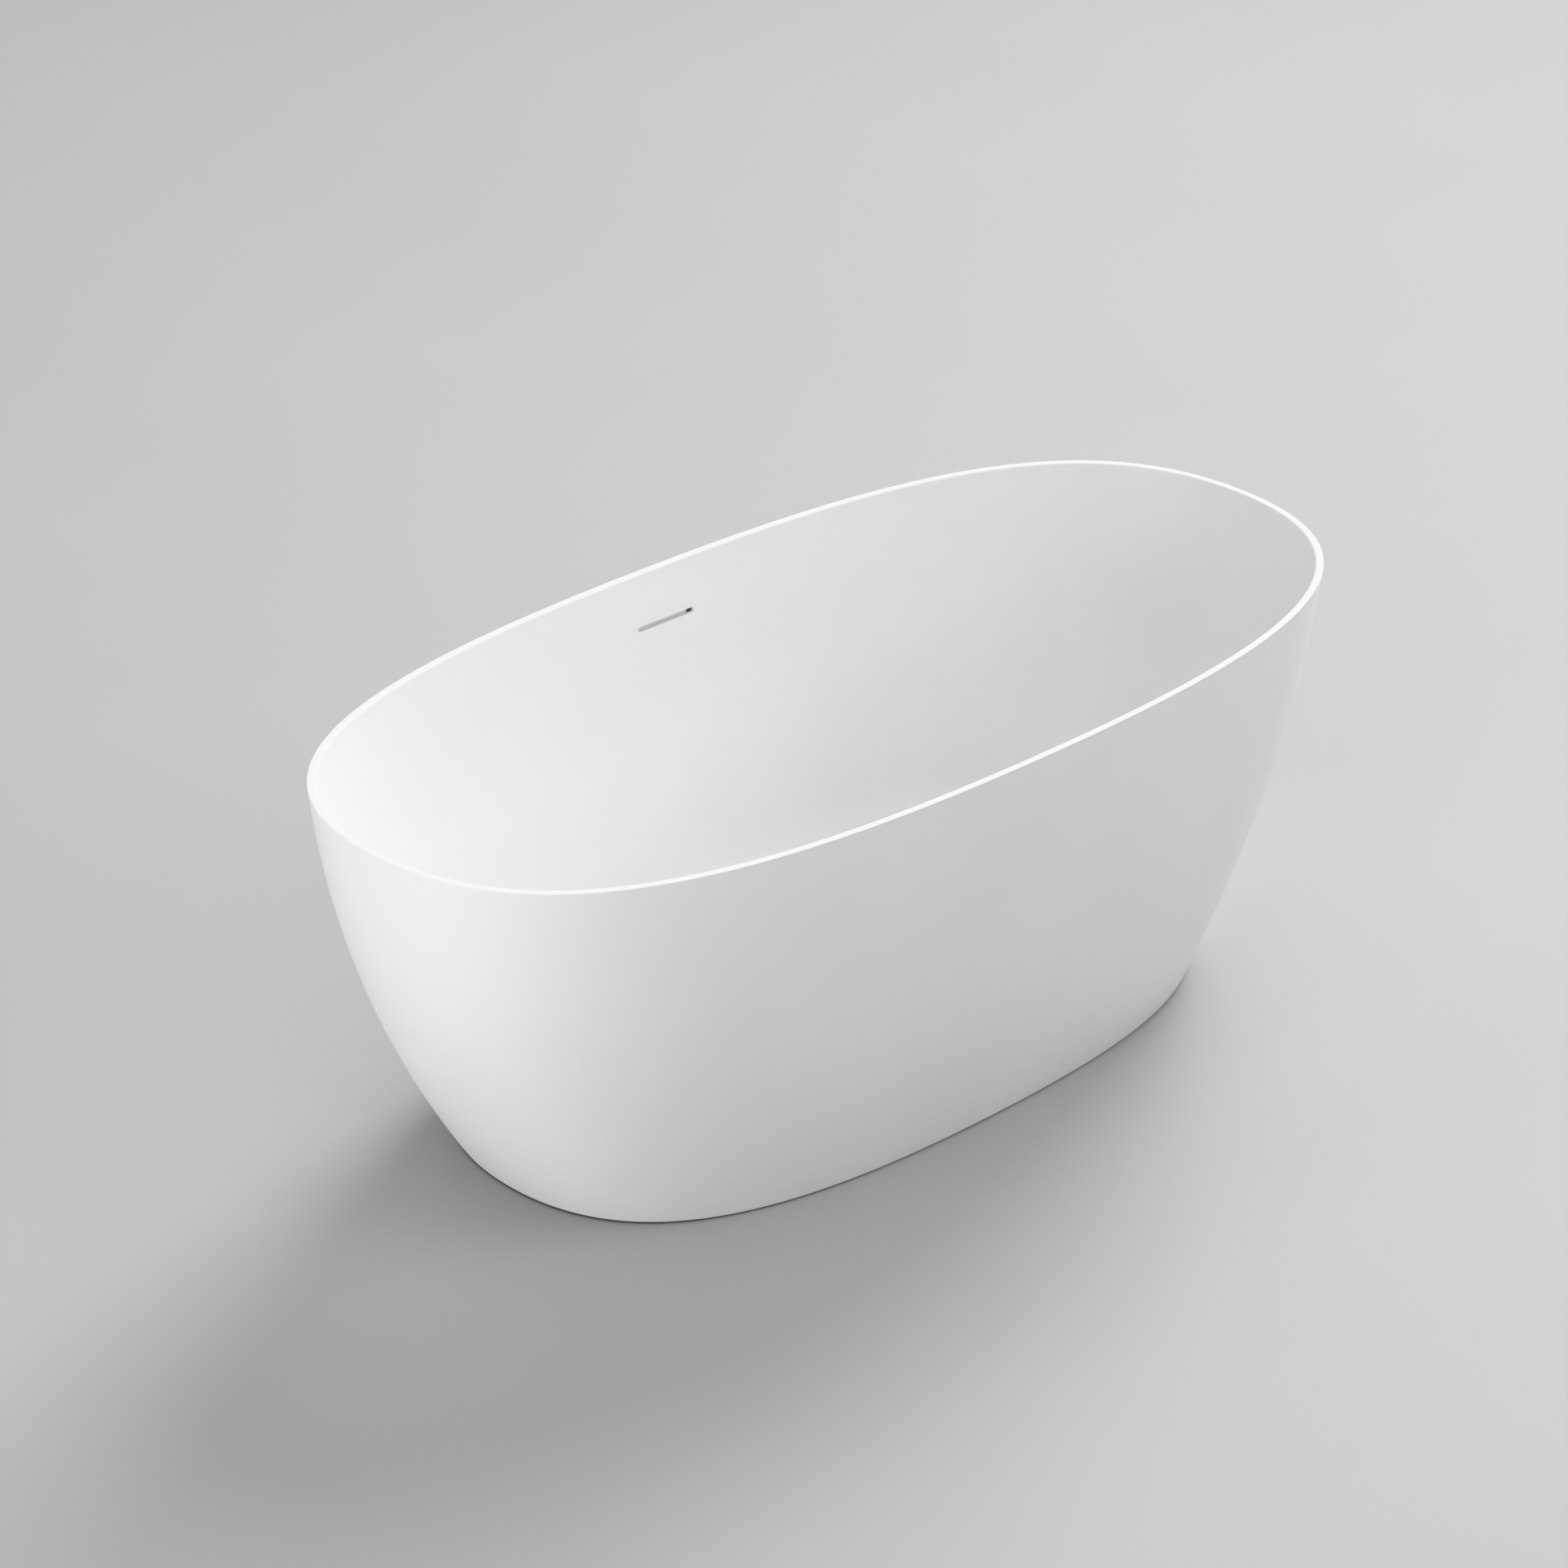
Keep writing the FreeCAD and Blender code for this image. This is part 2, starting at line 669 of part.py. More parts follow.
def circle(sketch, x, y, radius):
    """A circle held by its middle and its radius, which are all formulas."""
    index = sketch.addGeometry(Part.Circle(Vector(10, 10, 0), Vector(0, 0, 1), 5), False)
    for kind, formula in (("DistanceX", x), ("DistanceY", y)):
        constraint = sketch.addConstraint(Sketcher.Constraint(kind, -1, 1, index, 3, 10))
        bind(sketch, f"Constraints[{constraint}]", formula)
    constraint = sketch.addConstraint(Sketcher.Constraint("Radius", index, 5))
    bind(sketch, f"Constraints[{constraint}]", radius)


def on_the_wall(outwards, upwards):
    """A point given in the wall's own plane, on the plumbing line."""
    lean = math.radians(size("wall_lean"))
    return Vector(size("plumbing_x"),
                  size("slot_back") + outwards * math.cos(lean) + upwards * math.sin(lean),
                  size("slot_middle") - outwards * math.sin(lean) + upwards * math.cos(lean))


def hose_route():
    """The hose's two runs and the bend that joins them, from the housing down to the waste."""
    sump_low = -size("housing_bottom") - size("sump_height") / 2
    start = on_the_wall(size("spigot_offset"), sump_low - size("hose_end_gap"))
    lean = math.radians(size("wall_lean"))
    corner = Vector(start.x, start.y - (start.z - size("hose_level")) * math.tan(lean), size("hose_level"))
    end_y = size("branch_end") - size("spigot_length") + size("hose_end_gap")
    end = Vector(start.x, end_y, size("hose_level"))
    half_turn = (math.pi / 2 - lean) / 2
    back = size("hose_bend") * math.tan(half_turn)
    up = (start - corner).normalize()
    level = (end - corner).normalize()
    bend_start = corner + up * back
    bend_end = corner + level * back
    bisector = (up + level).normalize()
    middle = corner + bisector * (size("hose_bend") / math.cos(half_turn) - size("hose_bend"))
    return start, bend_start, middle, bend_end, end


def make_hose():
    start, bend_start, middle, bend_end, end = hose_route()
    path = Part.Wire([Part.LineSegment(start, bend_start).toShape(),
                      Part.Arc(bend_start, middle, bend_end).toShape(),
                      Part.LineSegment(bend_end, end).toShape()])
    ring_at_start = [Part.Wire(Part.makeCircle(size(radius), start, bend_start - start))
                     for radius in ("hose_radius", "hose_bore")]
    outer, bore = [path.makePipeShell([ring], True, False) for ring in ring_at_start]
    tube = outer.cut(bore)
    section = math.pi * (size("hose_radius") ** 2 - size("hose_bore") ** 2)
    print(f"hose: length {path.Length:.1f} mm, bend {size('hose_bend'):.0f} mm, "
          f"volume over section times length {tube.Volume / (section * path.Length):.4f}")
    sub_part(shape_feature("overflow_hose", tube), "overflow_hose")
    for name, point, direction in (("upper", start, bend_start - start), ("lower", end, bend_end - end)):
        sub_part(clamp(f"hose_clamp_{name}", point, direction), f"hose_clamp_{name}")


def clamp(name, point, direction):
    """A band clamp with its screw block, round one end of the hose."""
    inner = "hose_radius + thread_clearance"
    band = washer(name + "_band", f"{inner} + clamp_thick", inner, "clamp_width", 0, 0, "clamp_width / 2")
    lug = box(name + "_block", "clamp_lug", "clamp_lug", "clamp_width", f"{inner} + clamp_thick / 2",
              "-clamp_lug / 2", "clamp_width / 2")
    feature = fuse(name, [band, lug])
    feature.Placement = Placement(point, Rotation(Vector(0, 0, 1), direction))
    return feature


# Waste --------------------------------------------------------------------------------------

RECESS_FLOOR = "floor_height - drain_recess_depth"
FLANGE_BOTTOM = f"{RECESS_FLOOR} + flange_gasket"
FLANGE_TOP = f"{FLANGE_BOTTOM} + flange_thick"
BOSS_BOTTOM = "floor_height - drain_boss_depth"
BODY_TOP = f"{BOSS_BOTTOM} - body_gasket"


def make_waste():
    x = "plumbing_x"
    collar = turned("drain_collar", [
        ("flange_bore", "flange_tail_bottom"), ("flange_tail", "flange_tail_bottom"),
        ("flange_tail", FLANGE_BOTTOM), ("flange_radius", FLANGE_BOTTOM),
        ("flange_radius", f"{FLANGE_TOP} - flange_chamfer"), ("flange_radius - flange_chamfer", FLANGE_TOP),
        ("flange_seat", FLANGE_TOP), ("flange_seat - flange_chamfer", f"{FLANGE_TOP} - flange_seat_depth"),
        ("flange_bore", f"{FLANGE_TOP} - flange_seat_depth")])
    hub = cylinder("spider_hub_disc", "spider_hub", "spider_height", x, 0, "spider_bottom")
    arm_reach = "2 * flange_bore + 1"
    arms = [box("spider_arm_along", arm_reach, "spider_arm", "spider_height",
                f"{x} - ({arm_reach}) / 2", "-spider_arm / 2", "spider_bottom"),
            box("spider_arm_across", "spider_arm", arm_reach, "spider_height",
                f"{x} - spider_arm / 2", f"-({arm_reach}) / 2", "spider_bottom")]
    hub_hole = cylinder("spider_hole", "cartridge_radius + thread_clearance", "spider_height",
                        x, 0, "spider_bottom")
    flange = cut("drain_flange", fuse("drain_flange_blank", [collar, hub] + arms), [hub_hole])
    sub_part(flange, "drain_flange")
    sub_part(washer("drain_flange_gasket", "flange_radius", "drain_hole", "flange_gasket",
                    x, 0, RECESS_FLOOR), "drain_flange_gasket")
    sub_part(washer("drain_body_gasket", "body_flange_radius", "drain_hole", "body_gasket",
                    x, 0, BODY_TOP), "drain_body_gasket")

    shell = turned("drain_body_shell", [
        ("tail_radius + running_clearance", "neck_bottom"), ("neck_radius", "neck_bottom"),
        ("neck_radius", "body_bottom"), ("body_radius", "body_bottom"),
        ("body_radius", f"{BODY_TOP} - body_flange_thick"),
        ("body_flange_radius", f"{BODY_TOP} - body_flange_thick"), ("body_flange_radius", BODY_TOP),
        ("flange_tail + thread_clearance", BODY_TOP),
        ("flange_tail + thread_clearance", "tail_top + running_clearance"),
        ("tail_radius + running_clearance", "tail_top + running_clearance")])
    across = Vector(0, 1, 0)
    branch_start = "flange_tail + branch_bite"
    branch = cylinder("drain_branch", "spigot_radius", f"branch_end - ({branch_start})",
                      x, branch_start, "hose_level", across)
    branch_bore = cylinder("drain_branch_bore", "spigot_bore", "branch_end - flange_tail",
                           x, "flange_tail", "hose_level", across)
    sub_part(cut("drain_body", fuse("drain_body_blank", [shell, branch]), [branch_bore]), "drain_body")

    washer_bottom = "neck_bottom - outlet_washer"
    collar_bottom = f"{washer_bottom} - tail_collar_thick"
    pipe = turned("outlet_pipe", [
        ("tail_bore", "tail_bottom"), ("tail_radius", "tail_bottom"), ("tail_radius", "tail_step"),
        ("tail_shoulder", "tail_step"), ("tail_shoulder", collar_bottom), ("tail_collar", collar_bottom),
        ("tail_collar", washer_bottom), ("tail_radius", washer_bottom), ("tail_radius", "tail_top"),
        ("tail_bore", "tail_top")])
    inlet = cylinder("outlet_pipe_inlet", "spigot_bore + branch_bite", "body_radius",
                     x, 0, "hose_level", across)
    sub_part(cut("outlet_tail", pipe, [inlet]), "outlet_tail")
    sub_part(washer("outlet_washer", "neck_radius", "tail_radius + running_clearance", "outlet_washer",
                    x, 0, washer_bottom), "outlet_washer")
    nut = hexagon("outlet_nut_blank", "outlet_nut_width", "outlet_nut_top - outlet_nut_bottom",
                  x, 0, "outlet_nut_bottom")
    nut_thread = cylinder("outlet_nut_thread", "neck_radius + running_clearance",
                          "outlet_nut_top", x, 0, f"{collar_bottom} - running_clearance")
    nut_mouth = cylinder("outlet_nut_mouth", "tail_shoulder + socket_clearance", "outlet_nut_top",
                         x, 0, "outlet_nut_bottom")
    sub_part(cut("outlet_nut", nut, [nut_thread, nut_mouth]), "outlet_nut")


def make_plug():
    under_cap = f"{FLANGE_TOP} + cap_gap"
    # The dome is a parabola in three straight steps.
    dome = [(f"cap_radius * {share}", f"{under_cap} + cap_edge + cap_dome * {1 - share ** 2}")
            for share in (1, 0.7, 0.35, 0)]
    cap = turned("plug_cap", [(0, under_cap), ("cap_radius", under_cap)] + dome)
    sub_part(cap, "plug_cap")
    seat = f"{FLANGE_TOP} - flange_seat_depth"
    sub_part(washer("plug_seal", "seal_outer", "seal_inner", "flange_seat_depth + cap_gap",
                    "plumbing_x", 0, seat), "plug_seal")
    sub_part(cylinder("plug_stem", "stem_radius", f"{under_cap} - stem_bottom",
                      "plumbing_x", 0, "stem_bottom"), "plug_stem")
    barrel = cylinder("cartridge_barrel", "cartridge_radius", "cartridge_top - cartridge_bottom",
                      "plumbing_x", 0, "cartridge_bottom")
    bore = cylinder("cartridge_bore", "stem_radius + running_clearance", "cartridge_top - cartridge_floor",
                    "plumbing_x", 0, "cartridge_floor")
    sub_part(cut("click_cartridge", barrel, [bore]), "click_cartridge")


# Build, check and write ---------------------------------------------------------------------

def check_document():
    for feature in doc.Objects:
        if "Invalid" in feature.State or "Error" in feature.State:
            raise RuntimeError(f"{feature.Name} failed: {feature.State}")
    for feature in SUB_PARTS:
        if feature.Shape.isNull() or not feature.Shape.isValid():
            raise RuntimeError(f"{feature.Label} has no valid shape")


def write_parts():
    os.makedirs("parts", exist_ok=True)
    for feature in SUB_PARTS:
        feature.Shape.exportStep(f"parts/{feature.Label}.step")
        box_of = feature.Shape.BoundBox
        print(f"{feature.Label}: {feature.Shape.Volume / 1000:.1f} cm3, "
              f"z {box_of.ZMin:.1f} to {box_of.ZMax:.1f}, solids {len(feature.Shape.Solids)}")


make_shells()
make_board()
make_frame()
make_feet()
make_overflow()
make_hose()
make_waste()
make_plug()
doc.recompute()
check_document()
write_parts()
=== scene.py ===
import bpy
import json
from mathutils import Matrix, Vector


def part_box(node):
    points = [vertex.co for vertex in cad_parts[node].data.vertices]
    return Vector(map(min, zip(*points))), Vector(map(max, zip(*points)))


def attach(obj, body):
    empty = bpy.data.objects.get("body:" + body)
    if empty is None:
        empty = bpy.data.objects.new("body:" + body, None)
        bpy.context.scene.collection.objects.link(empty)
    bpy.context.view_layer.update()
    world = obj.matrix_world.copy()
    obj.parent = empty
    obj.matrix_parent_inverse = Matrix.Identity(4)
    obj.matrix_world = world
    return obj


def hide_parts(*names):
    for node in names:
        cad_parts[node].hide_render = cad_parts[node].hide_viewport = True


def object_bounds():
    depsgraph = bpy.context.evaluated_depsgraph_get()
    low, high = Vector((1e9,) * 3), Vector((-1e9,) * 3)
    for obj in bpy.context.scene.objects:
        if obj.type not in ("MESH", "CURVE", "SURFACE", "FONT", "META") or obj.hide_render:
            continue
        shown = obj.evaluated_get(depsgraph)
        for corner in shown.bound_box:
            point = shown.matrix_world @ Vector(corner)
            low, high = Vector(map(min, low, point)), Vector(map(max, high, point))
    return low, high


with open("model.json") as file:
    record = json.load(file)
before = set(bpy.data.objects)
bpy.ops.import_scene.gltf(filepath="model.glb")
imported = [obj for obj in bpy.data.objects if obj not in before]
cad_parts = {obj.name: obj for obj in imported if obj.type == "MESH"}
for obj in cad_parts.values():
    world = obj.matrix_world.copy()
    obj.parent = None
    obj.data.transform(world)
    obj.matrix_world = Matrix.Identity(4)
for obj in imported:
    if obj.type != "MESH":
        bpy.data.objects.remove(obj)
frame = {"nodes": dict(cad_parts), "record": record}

"""Looks of the freestanding bath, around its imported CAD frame. Metres, same frame as the CAD."""

import json
import math

import bmesh
import bpy
from mathutils import Matrix, Vector

CAD_LOW, CAD_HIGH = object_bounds()

# Driving dimensions ---------------------------------------------------------------------------

# Half length, half width and height of the ovals that the shells pass through, and of the
# handles between them. They repeat the CAD model's own.
RIM = (CAD_HIGH.x, CAD_HIGH.y, CAD_HIGH.z)
BELLY = (0.812, 0.385, 0.290)
BASE = (0.625, 0.325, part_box("outer_skirt")[0].z)
WALL_MIDDLE = (0.775, 0.338, 0.400)
WALL_FOOT = (0.625, 0.280, 0.190)
FLOOR = (0.520, 0.225, 0.130)

# The rim's flat width, its flange's depth, its outer and inner roundings, and how far the
# flange leans in on its way down.
RIM_WIDTH = 0.012
RIM_THICK = 0.005
RIM_EDGE = 0.0015
RIM_ROUND = 0.005
RIM_LEAN = 0.0005

BASIN_THICK = 0.005
SKIRT_THICK = 0.004
BASE_EDGE = 0.0012

# How far the unit oval's handles reach: up from its end, and out from its side.
OVAL_SIDE = 0.84
OVAL_END = 0.57

# The overflow and the drain share one plane across the bath, a little off its middle.
PLUMBING_X = 0.013
SLOT_LENGTH = 0.108
SLOT_HEIGHT = 0.007
SLOT_MIDDLE = 0.523
SLOT_EDGE = 0.0007
DRAIN_HOLE = 0.026
DRAIN_RECESS = 0.037
DRAIN_RECESS_DEPTH = 0.004
DRAIN_EDGE = 0.0008
DRAIN_BOSS = 0.050
DRAIN_BOSS_DEPTH = 0.010

# The overflow hose's two straight runs, and the radius of the bend between them.
HOSE_START = Vector((PLUMBING_X, 0.3633, 0.4039))
HOSE_CORNER = Vector((PLUMBING_X, 0.2732, 0.058))
HOSE_END = Vector((PLUMBING_X, 0.039, 0.058))
HOSE_BEND = 0.180
HOSE_RADIUS = 0.015
HOSE_BORE = 0.0125


# Small helpers --------------------------------------------------------------------------------

SMOOTH_ANGLE = math.radians(35)


def make_object(name, vertices, faces, material):
    """A smooth-shaded piece, with edges sharper than the angle left crisp."""
    mesh = bpy.data.meshes.new(name)
    mesh.from_pydata([tuple(v) for v in vertices], [], faces)
    mesh.validate()
    mesh.update()
    mesh.polygons.foreach_set("use_smooth", [True] * len(mesh.polygons))
    mesh.set_sharp_from_angle(angle=SMOOTH_ANGLE)
    piece = bpy.data.objects.new(name, mesh)
    bpy.context.scene.collection.objects.link(piece)
    piece.data.materials.append(material)
    return piece


def bezier2(a, b, c, t):
    """A point on the quadratic curve from a to c with handle b."""
    return tuple((1 - t) ** 2 * p + 2 * t * (1 - t) * q + t * t * r for p, q, r in zip(a, b, c))


def inset(section, amount):
    """A smaller oval at the same height."""
    return section[0] - amount, section[1] - amount, section[2]


def at_height(section, height):
    return section[0], section[1], height


def steps(count, first=0):
    """Even shares of 1, from first / count up to 1."""
    return [i / count for i in range(first, count + 1)]


BISECTIONS = 60


def bisected(is_low):
    """The value between 0 and 1 at which is_low turns false."""
    low, high = 0.0, 1.0
    for _ in range(BISECTIONS):
        middle = (low + high) / 2
        if is_low(middle):
            low = middle
        else:
            high = middle
    return (low + high) / 2


# Ovals ----------------------------------------------------------------------------------------

def quarter_point(u):
    """A quarter of the unit oval, from (1, 0) on X to (0, 1) on Y."""
    w = 1 - u
    x = w ** 3 + 3 * u * w * w + 3 * u * u * w * OVAL_END
    y = 3 * u * w * w * OVAL_SIDE + 3 * u * u * w + u ** 3
    return x, y


def quarter_parameter(x):
    """The parameter at which the quarter oval has this x."""
    return bisected(lambda u: quarter_point(u)[0] > x)


# The plain points stop this share of a close step short of the close ones.
CLOSE_MARGIN = 0.6


def unit_oval(per_quarter, close_x=()):
    """Points round the unit oval, with extra ones on the +Y side at the given x values."""
    ring = []
    for sign_x, sign_y in ((1, 1), (-1, 1), (-1, -1), (1, -1)):
        parameters = steps(per_quarter)[:-1]
        if sign_x * sign_y < 0:
            parameters = [1 - u for u in parameters]
        ring += [(sign_x * quarter_point(u)[0], sign_y * quarter_point(u)[1]) for u in parameters]
    if close_x:
        low, high = min(close_x), max(close_x)
        margin = (close_x[1] - close_x[0]) * CLOSE_MARGIN
        first = next(i for i, (x, y) in enumerate(ring) if y > 0 and x < high + margin)
        last = next(i for i, (x, y) in enumerate(ring) if y > 0 and x < low - margin)
        dense = [(x, quarter_point(quarter_parameter(abs(x)))[1])
                 for x in sorted(close_x, reverse=True)]
        ring = ring[:first] + dense + ring[last:]
    return ring


def oval_ring(unit, section):
    """The unit oval's points, brought to a section's size and height."""
    return [Vector((section[0] * x, section[1] * y, section[2])) for x, y in unit]


def circle_ring(unit, radius, height):
    """A circle about the drain, met by the same spokes as the oval's points."""
    angles = [math.atan2(y * FLOOR[1], x * FLOOR[0]) for x, y in unit]
    return [Vector((PLUMBING_X + radius * math.cos(a), radius * math.sin(a), height)) for a in angles]


def blend_rings(first, second, share):
    return [a.lerp(b, share) for a, b in zip(first, second)]


def ring_faces(ring_count, per_ring, closed):
    """Quads between rings in turn, and back to the first ring when closed."""
    faces = []
    for j in range(ring_count if closed else ring_count - 1):
        here, there = j * per_ring, (j + 1) % ring_count * per_ring
        for i in range(per_ring):
            k = (i + 1) % per_ring
            faces.append((here + i, here + k, there + k, there + i))
    return faces


# Materials ------------------------------------------------------------------------------------

COAT_ROUGHNESS = 0.12


def material(name, colour, roughness, metallic=0.0, coat=0.0, specular=0.5):
    """A Principled material and the handles needed to add detail to it."""
    made = bpy.data.materials.new(name)
    made.use_nodes = True
    shader = made.node_tree.nodes["Principled BSDF"]
    shader.inputs["Base Color"].default_value = (*colour, 1)
    shader.inputs["Roughness"].default_value = roughness
    shader.inputs["Metallic"].default_value = metallic
    shader.inputs["Coat Weight"].default_value = coat
    shader.inputs["Coat Roughness"].default_value = COAT_ROUGHNESS
    shader.inputs["Specular IOR Level"].default_value = specular
    return made, made.node_tree, shader


def node(tree, kind, **values):
    """Adds a node, and sets its properties or, where it has an input of that name, the input."""
    made = tree.nodes.new(kind)
    for name, value in values.items():
        socket = name.replace("_", " ").title()
        if socket in made.inputs:
            made.inputs[socket].default_value = value
        else:
            setattr(made, name, value)
    return made


def object_place(tree, stretch=(1, 1, 1), turn=0.0):
    """Object coordinates, turned about the upright axis and then stretched."""
    place = node(tree, "ShaderNodeTexCoord")
    mapping = node(tree, "ShaderNodeMapping", vector_type="TEXTURE")
    mapping.inputs["Scale"].default_value = tuple(1 / s for s in stretch)
    mapping.inputs["Rotation"].default_value = (0, 0, turn)
    tree.links.new(place.outputs["Object"], mapping.inputs["Vector"])
    return mapping.outputs["Vector"]


def pattern(tree, kind, place, **values):
    """A texture node laid out on the given coordinates."""
    texture = node(tree, kind, **values)
    tree.links.new(place, texture.inputs["Vector"])
    return texture


def ramp(tree, factor, stops):
    """A colour ramp from (position, colour) stops."""
    made = node(tree, "ShaderNodeValToRGB")
    elements = made.color_ramp.elements
    while len(elements) < len(stops):
        elements.new(0.5)
    for element, (position, colour) in zip(elements, stops):
        element.position = position
        element.color = (*colour, 1)
    tree.links.new(factor, made.inputs["Fac"])
    return made.outputs["Color"]


def roughen(tree, shader, factor, low, high):
    """Carries a 0 to 1 pattern to a range of roughness."""
    made = node(tree, "ShaderNodeMapRange")
    made.inputs["To Min"].default_value = low
    made.inputs["To Max"].default_value = high
    tree.links.new(factor, made.inputs["Value"])
    tree.links.new(made.outputs["Result"], shader.inputs["Roughness"])


def bump(tree, shader, height, distance, strength):
    """Raises the surface by up to this distance where the pattern is light."""
    made = node(tree, "ShaderNodeBump")
    made.inputs["Distance"].default_value = distance
    made.inputs["Strength"].default_value = strength
    tree.links.new(height, made.inputs["Height"])
    tree.links.new(made.outputs["Normal"], shader.inputs["Normal"])


def tone(colour, amount):
    """The colour made lighter or darker, and no lighter than white."""
    return tuple(min(1.0, c * amount) for c in colour)


def acrylic(name="white_acrylic"):
    """Satin sanitary acrylic: faint clouding in the white, uneven polish, a trace of waviness."""
    white = (0.78, 0.78, 0.78)
    made, tree, shader = material(name, white, 0.42, coat=0.06)
    place = object_place(tree)
    clouds = pattern(tree, "ShaderNodeTexNoise", place, scale=5.0, detail=3.0)
    shade = ramp(tree, clouds.outputs["Fac"], [(0.3, tone(white, 0.985)), (0.7, tone(white, 1.012))])
    tree.links.new(shade, shader.inputs["Base Color"])
    polish = pattern(tree, "ShaderNodeTexNoise", place, scale=38.0, detail=5.0)
    roughen(tree, shader, polish.outputs["Fac"], low=0.39, high=0.46)
    skin = pattern(tree, "ShaderNodeTexNoise", place, scale=420.0, detail=2.0)
    bump(tree, shader, skin.outputs["Fac"], distance=0.00002, strength=0.25)
    return made


def glass_fibre(name, colour):
    """Chopped strands lying three ways under resin, as on the back of a moulded shell."""
    made, tree, shader = material(name, colour, 0.5, specular=0.4)
    laid = None
    for degrees in (12, 71, 134):
        place = object_place(tree, (520, 40, 120), math.radians(degrees))
        strands = pattern(tree, "ShaderNodeTexNoise", place, scale=1.0, detail=1.5)
        if laid is None:
            laid = strands.outputs["Fac"]
            continue
        over = node(tree, "ShaderNodeMath", operation="MAXIMUM")
        tree.links.new(laid, over.inputs[0])
        tree.links.new(strands.outputs["Fac"], over.inputs[1])
        laid = over.outputs["Value"]
    shade = ramp(tree, laid, [(0.5, tone(colour, 0.86)), (0.62, colour), (0.74, tone(colour, 1.14))])
    tree.links.new(shade, shader.inputs["Base Color"])
    puddles = pattern(tree, "ShaderNodeTexNoise", object_place(tree), scale=18.0, detail=3.0)
    roughen(tree, shader, puddles.outputs["Fac"], low=0.3, high=0.7)
    bump(tree, shader, laid, distance=0.0008, strength=0.6)
    return made


def moulded_plastic(name, colour, roughness):
    """Moulded plastic: a fine grain over slow flow marks."""
    made, tree, shader = material(name, colour, roughness)
    place = object_place(tree)
    speckle = pattern(tree, "ShaderNodeTexNoise", place, scale=900.0, detail=2.0)
    flow = pattern(tree, "ShaderNodeTexNoise", place, scale=24.0, detail=3.0)
    shade = ramp(tree, flow.outputs["Fac"], [(0.3, tone(colour, 0.93)), (0.7, tone(colour, 1.06))])
    tree.links.new(shade, shader.inputs["Base Color"])
    roughen(tree, shader, flow.outputs["Fac"], low=roughness - 0.06, high=roughness + 0.08)
    bump(tree, shader, speckle.outputs["Fac"], distance=0.00008, strength=0.4)
    return made


def galvanised(name="galvanised_tube"):
    """Zinc spangle: flat crystals of slightly different grey."""
    zinc = (0.55, 0.57, 0.59)
    made, tree, shader = material(name, zinc, 0.42, metallic=0.85)
    crystals = pattern(tree, "ShaderNodeTexVoronoi", object_place(tree), scale=95.0)
    shade = ramp(tree, crystals.outputs["Color"], [(0.0, tone(zinc, 0.78)), (1.0, tone(zinc, 1.22))])
    tree.links.new(shade, shader.inputs["Base Color"])
    roughen(tree, shader, crystals.outputs["Color"], low=0.3, high=0.55)
    return made


def bright_metal(name, colour, roughness, stretch=(1, 1, 1), scale=220.0):
    """A plated or turned metal whose fine marks run the way that stretch squeezes them."""
    made, tree, shader = material(name, colour, roughness, metallic=1.0)
    marks = pattern(tree, "ShaderNodeTexNoise", object_place(tree, stretch), scale=scale, detail=3.0)
    shade = ramp(tree, marks.outputs["Fac"], [(0.25, tone(colour, 0.9)), (0.75, tone(colour, 1.05))])
    tree.links.new(shade, shader.inputs["Base Color"])
    roughen(tree, shader, marks.outputs["Fac"], low=roughness * 0.7, high=roughness * 1.5)
    return made


def sealed_board(name="sealed_board"):
    """Particle board under a coat of resin: pressed chips of several browns."""
    brown = (0.42, 0.31, 0.19)
    made, tree, shader = material(name, brown, 0.5)
    chips = pattern(tree, "ShaderNodeTexVoronoi", object_place(tree, (1, 2.2, 1)), scale=130.0)
    browns = [(0.0, tone(brown, 0.6)), (0.5, brown), (1.0, tone(brown, 1.7))]
    shade = ramp(tree, chips.outputs["Color"], browns)
    tree.links.new(shade, shader.inputs["Base Color"])
    roughen(tree, shader, chips.outputs["Distance"], low=0.38, high=0.62)
    bump(tree, shader, chips.outputs["Distance"], distance=0.0003, strength=0.4)
    return made


def rubber(name="black_rubber"):
    """Dull black rubber with a dusting of grey."""
    black = (0.018, 0.018, 0.019)
    made, tree, shader = material(name, black, 0.72, specular=0.3)
    dust = pattern(tree, "ShaderNodeTexNoise", object_place(tree), scale=300.0, detail=4.0)
    shade = ramp(tree, dust.outputs["Fac"], [(0.35, black), (0.8, tone(black, 1.9))])
    tree.links.new(shade, shader.inputs["Base Color"])
    bump(tree, shader, dust.outputs["Fac"], distance=0.0001, strength=0.5)
    return made


WHITE = acrylic()
SHELL_BACK = glass_fibre("shell_back", (0.66, 0.65, 0.58))
RING_FIBRE = glass_fibre("ring_fibre", (0.60, 0.57, 0.45))
BOARD = sealed_board()
TUBE = galvanised()
ZINC = bright_metal("bright_zinc", (0.62, 0.62, 0.60), 0.28)
CHROME = bright_metal("polished_chrome", (0.80, 0.81, 0.82), 0.06, scale=60.0)
BRASS = bright_metal("turned_brass", (0.66, 0.50, 0.24), 0.25, stretch=(0.05, 0.05, 1), scale=900.0)
BLACK = moulded_plastic("black_moulding", (0.022, 0.022, 0.024), 0.48)
GREY = moulded_plastic("grey_moulding", (0.42, 0.43, 0.44), 0.45)
HOUSING = moulded_plastic("housing_moulding", (0.78, 0.78, 0.77), 0.45)
HOSE = moulded_plastic("hose_moulding", (0.58, 0.59, 0.60), 0.5)
RUBBER = rubber()


# Basin ----------------------------------------------------------------------------------------

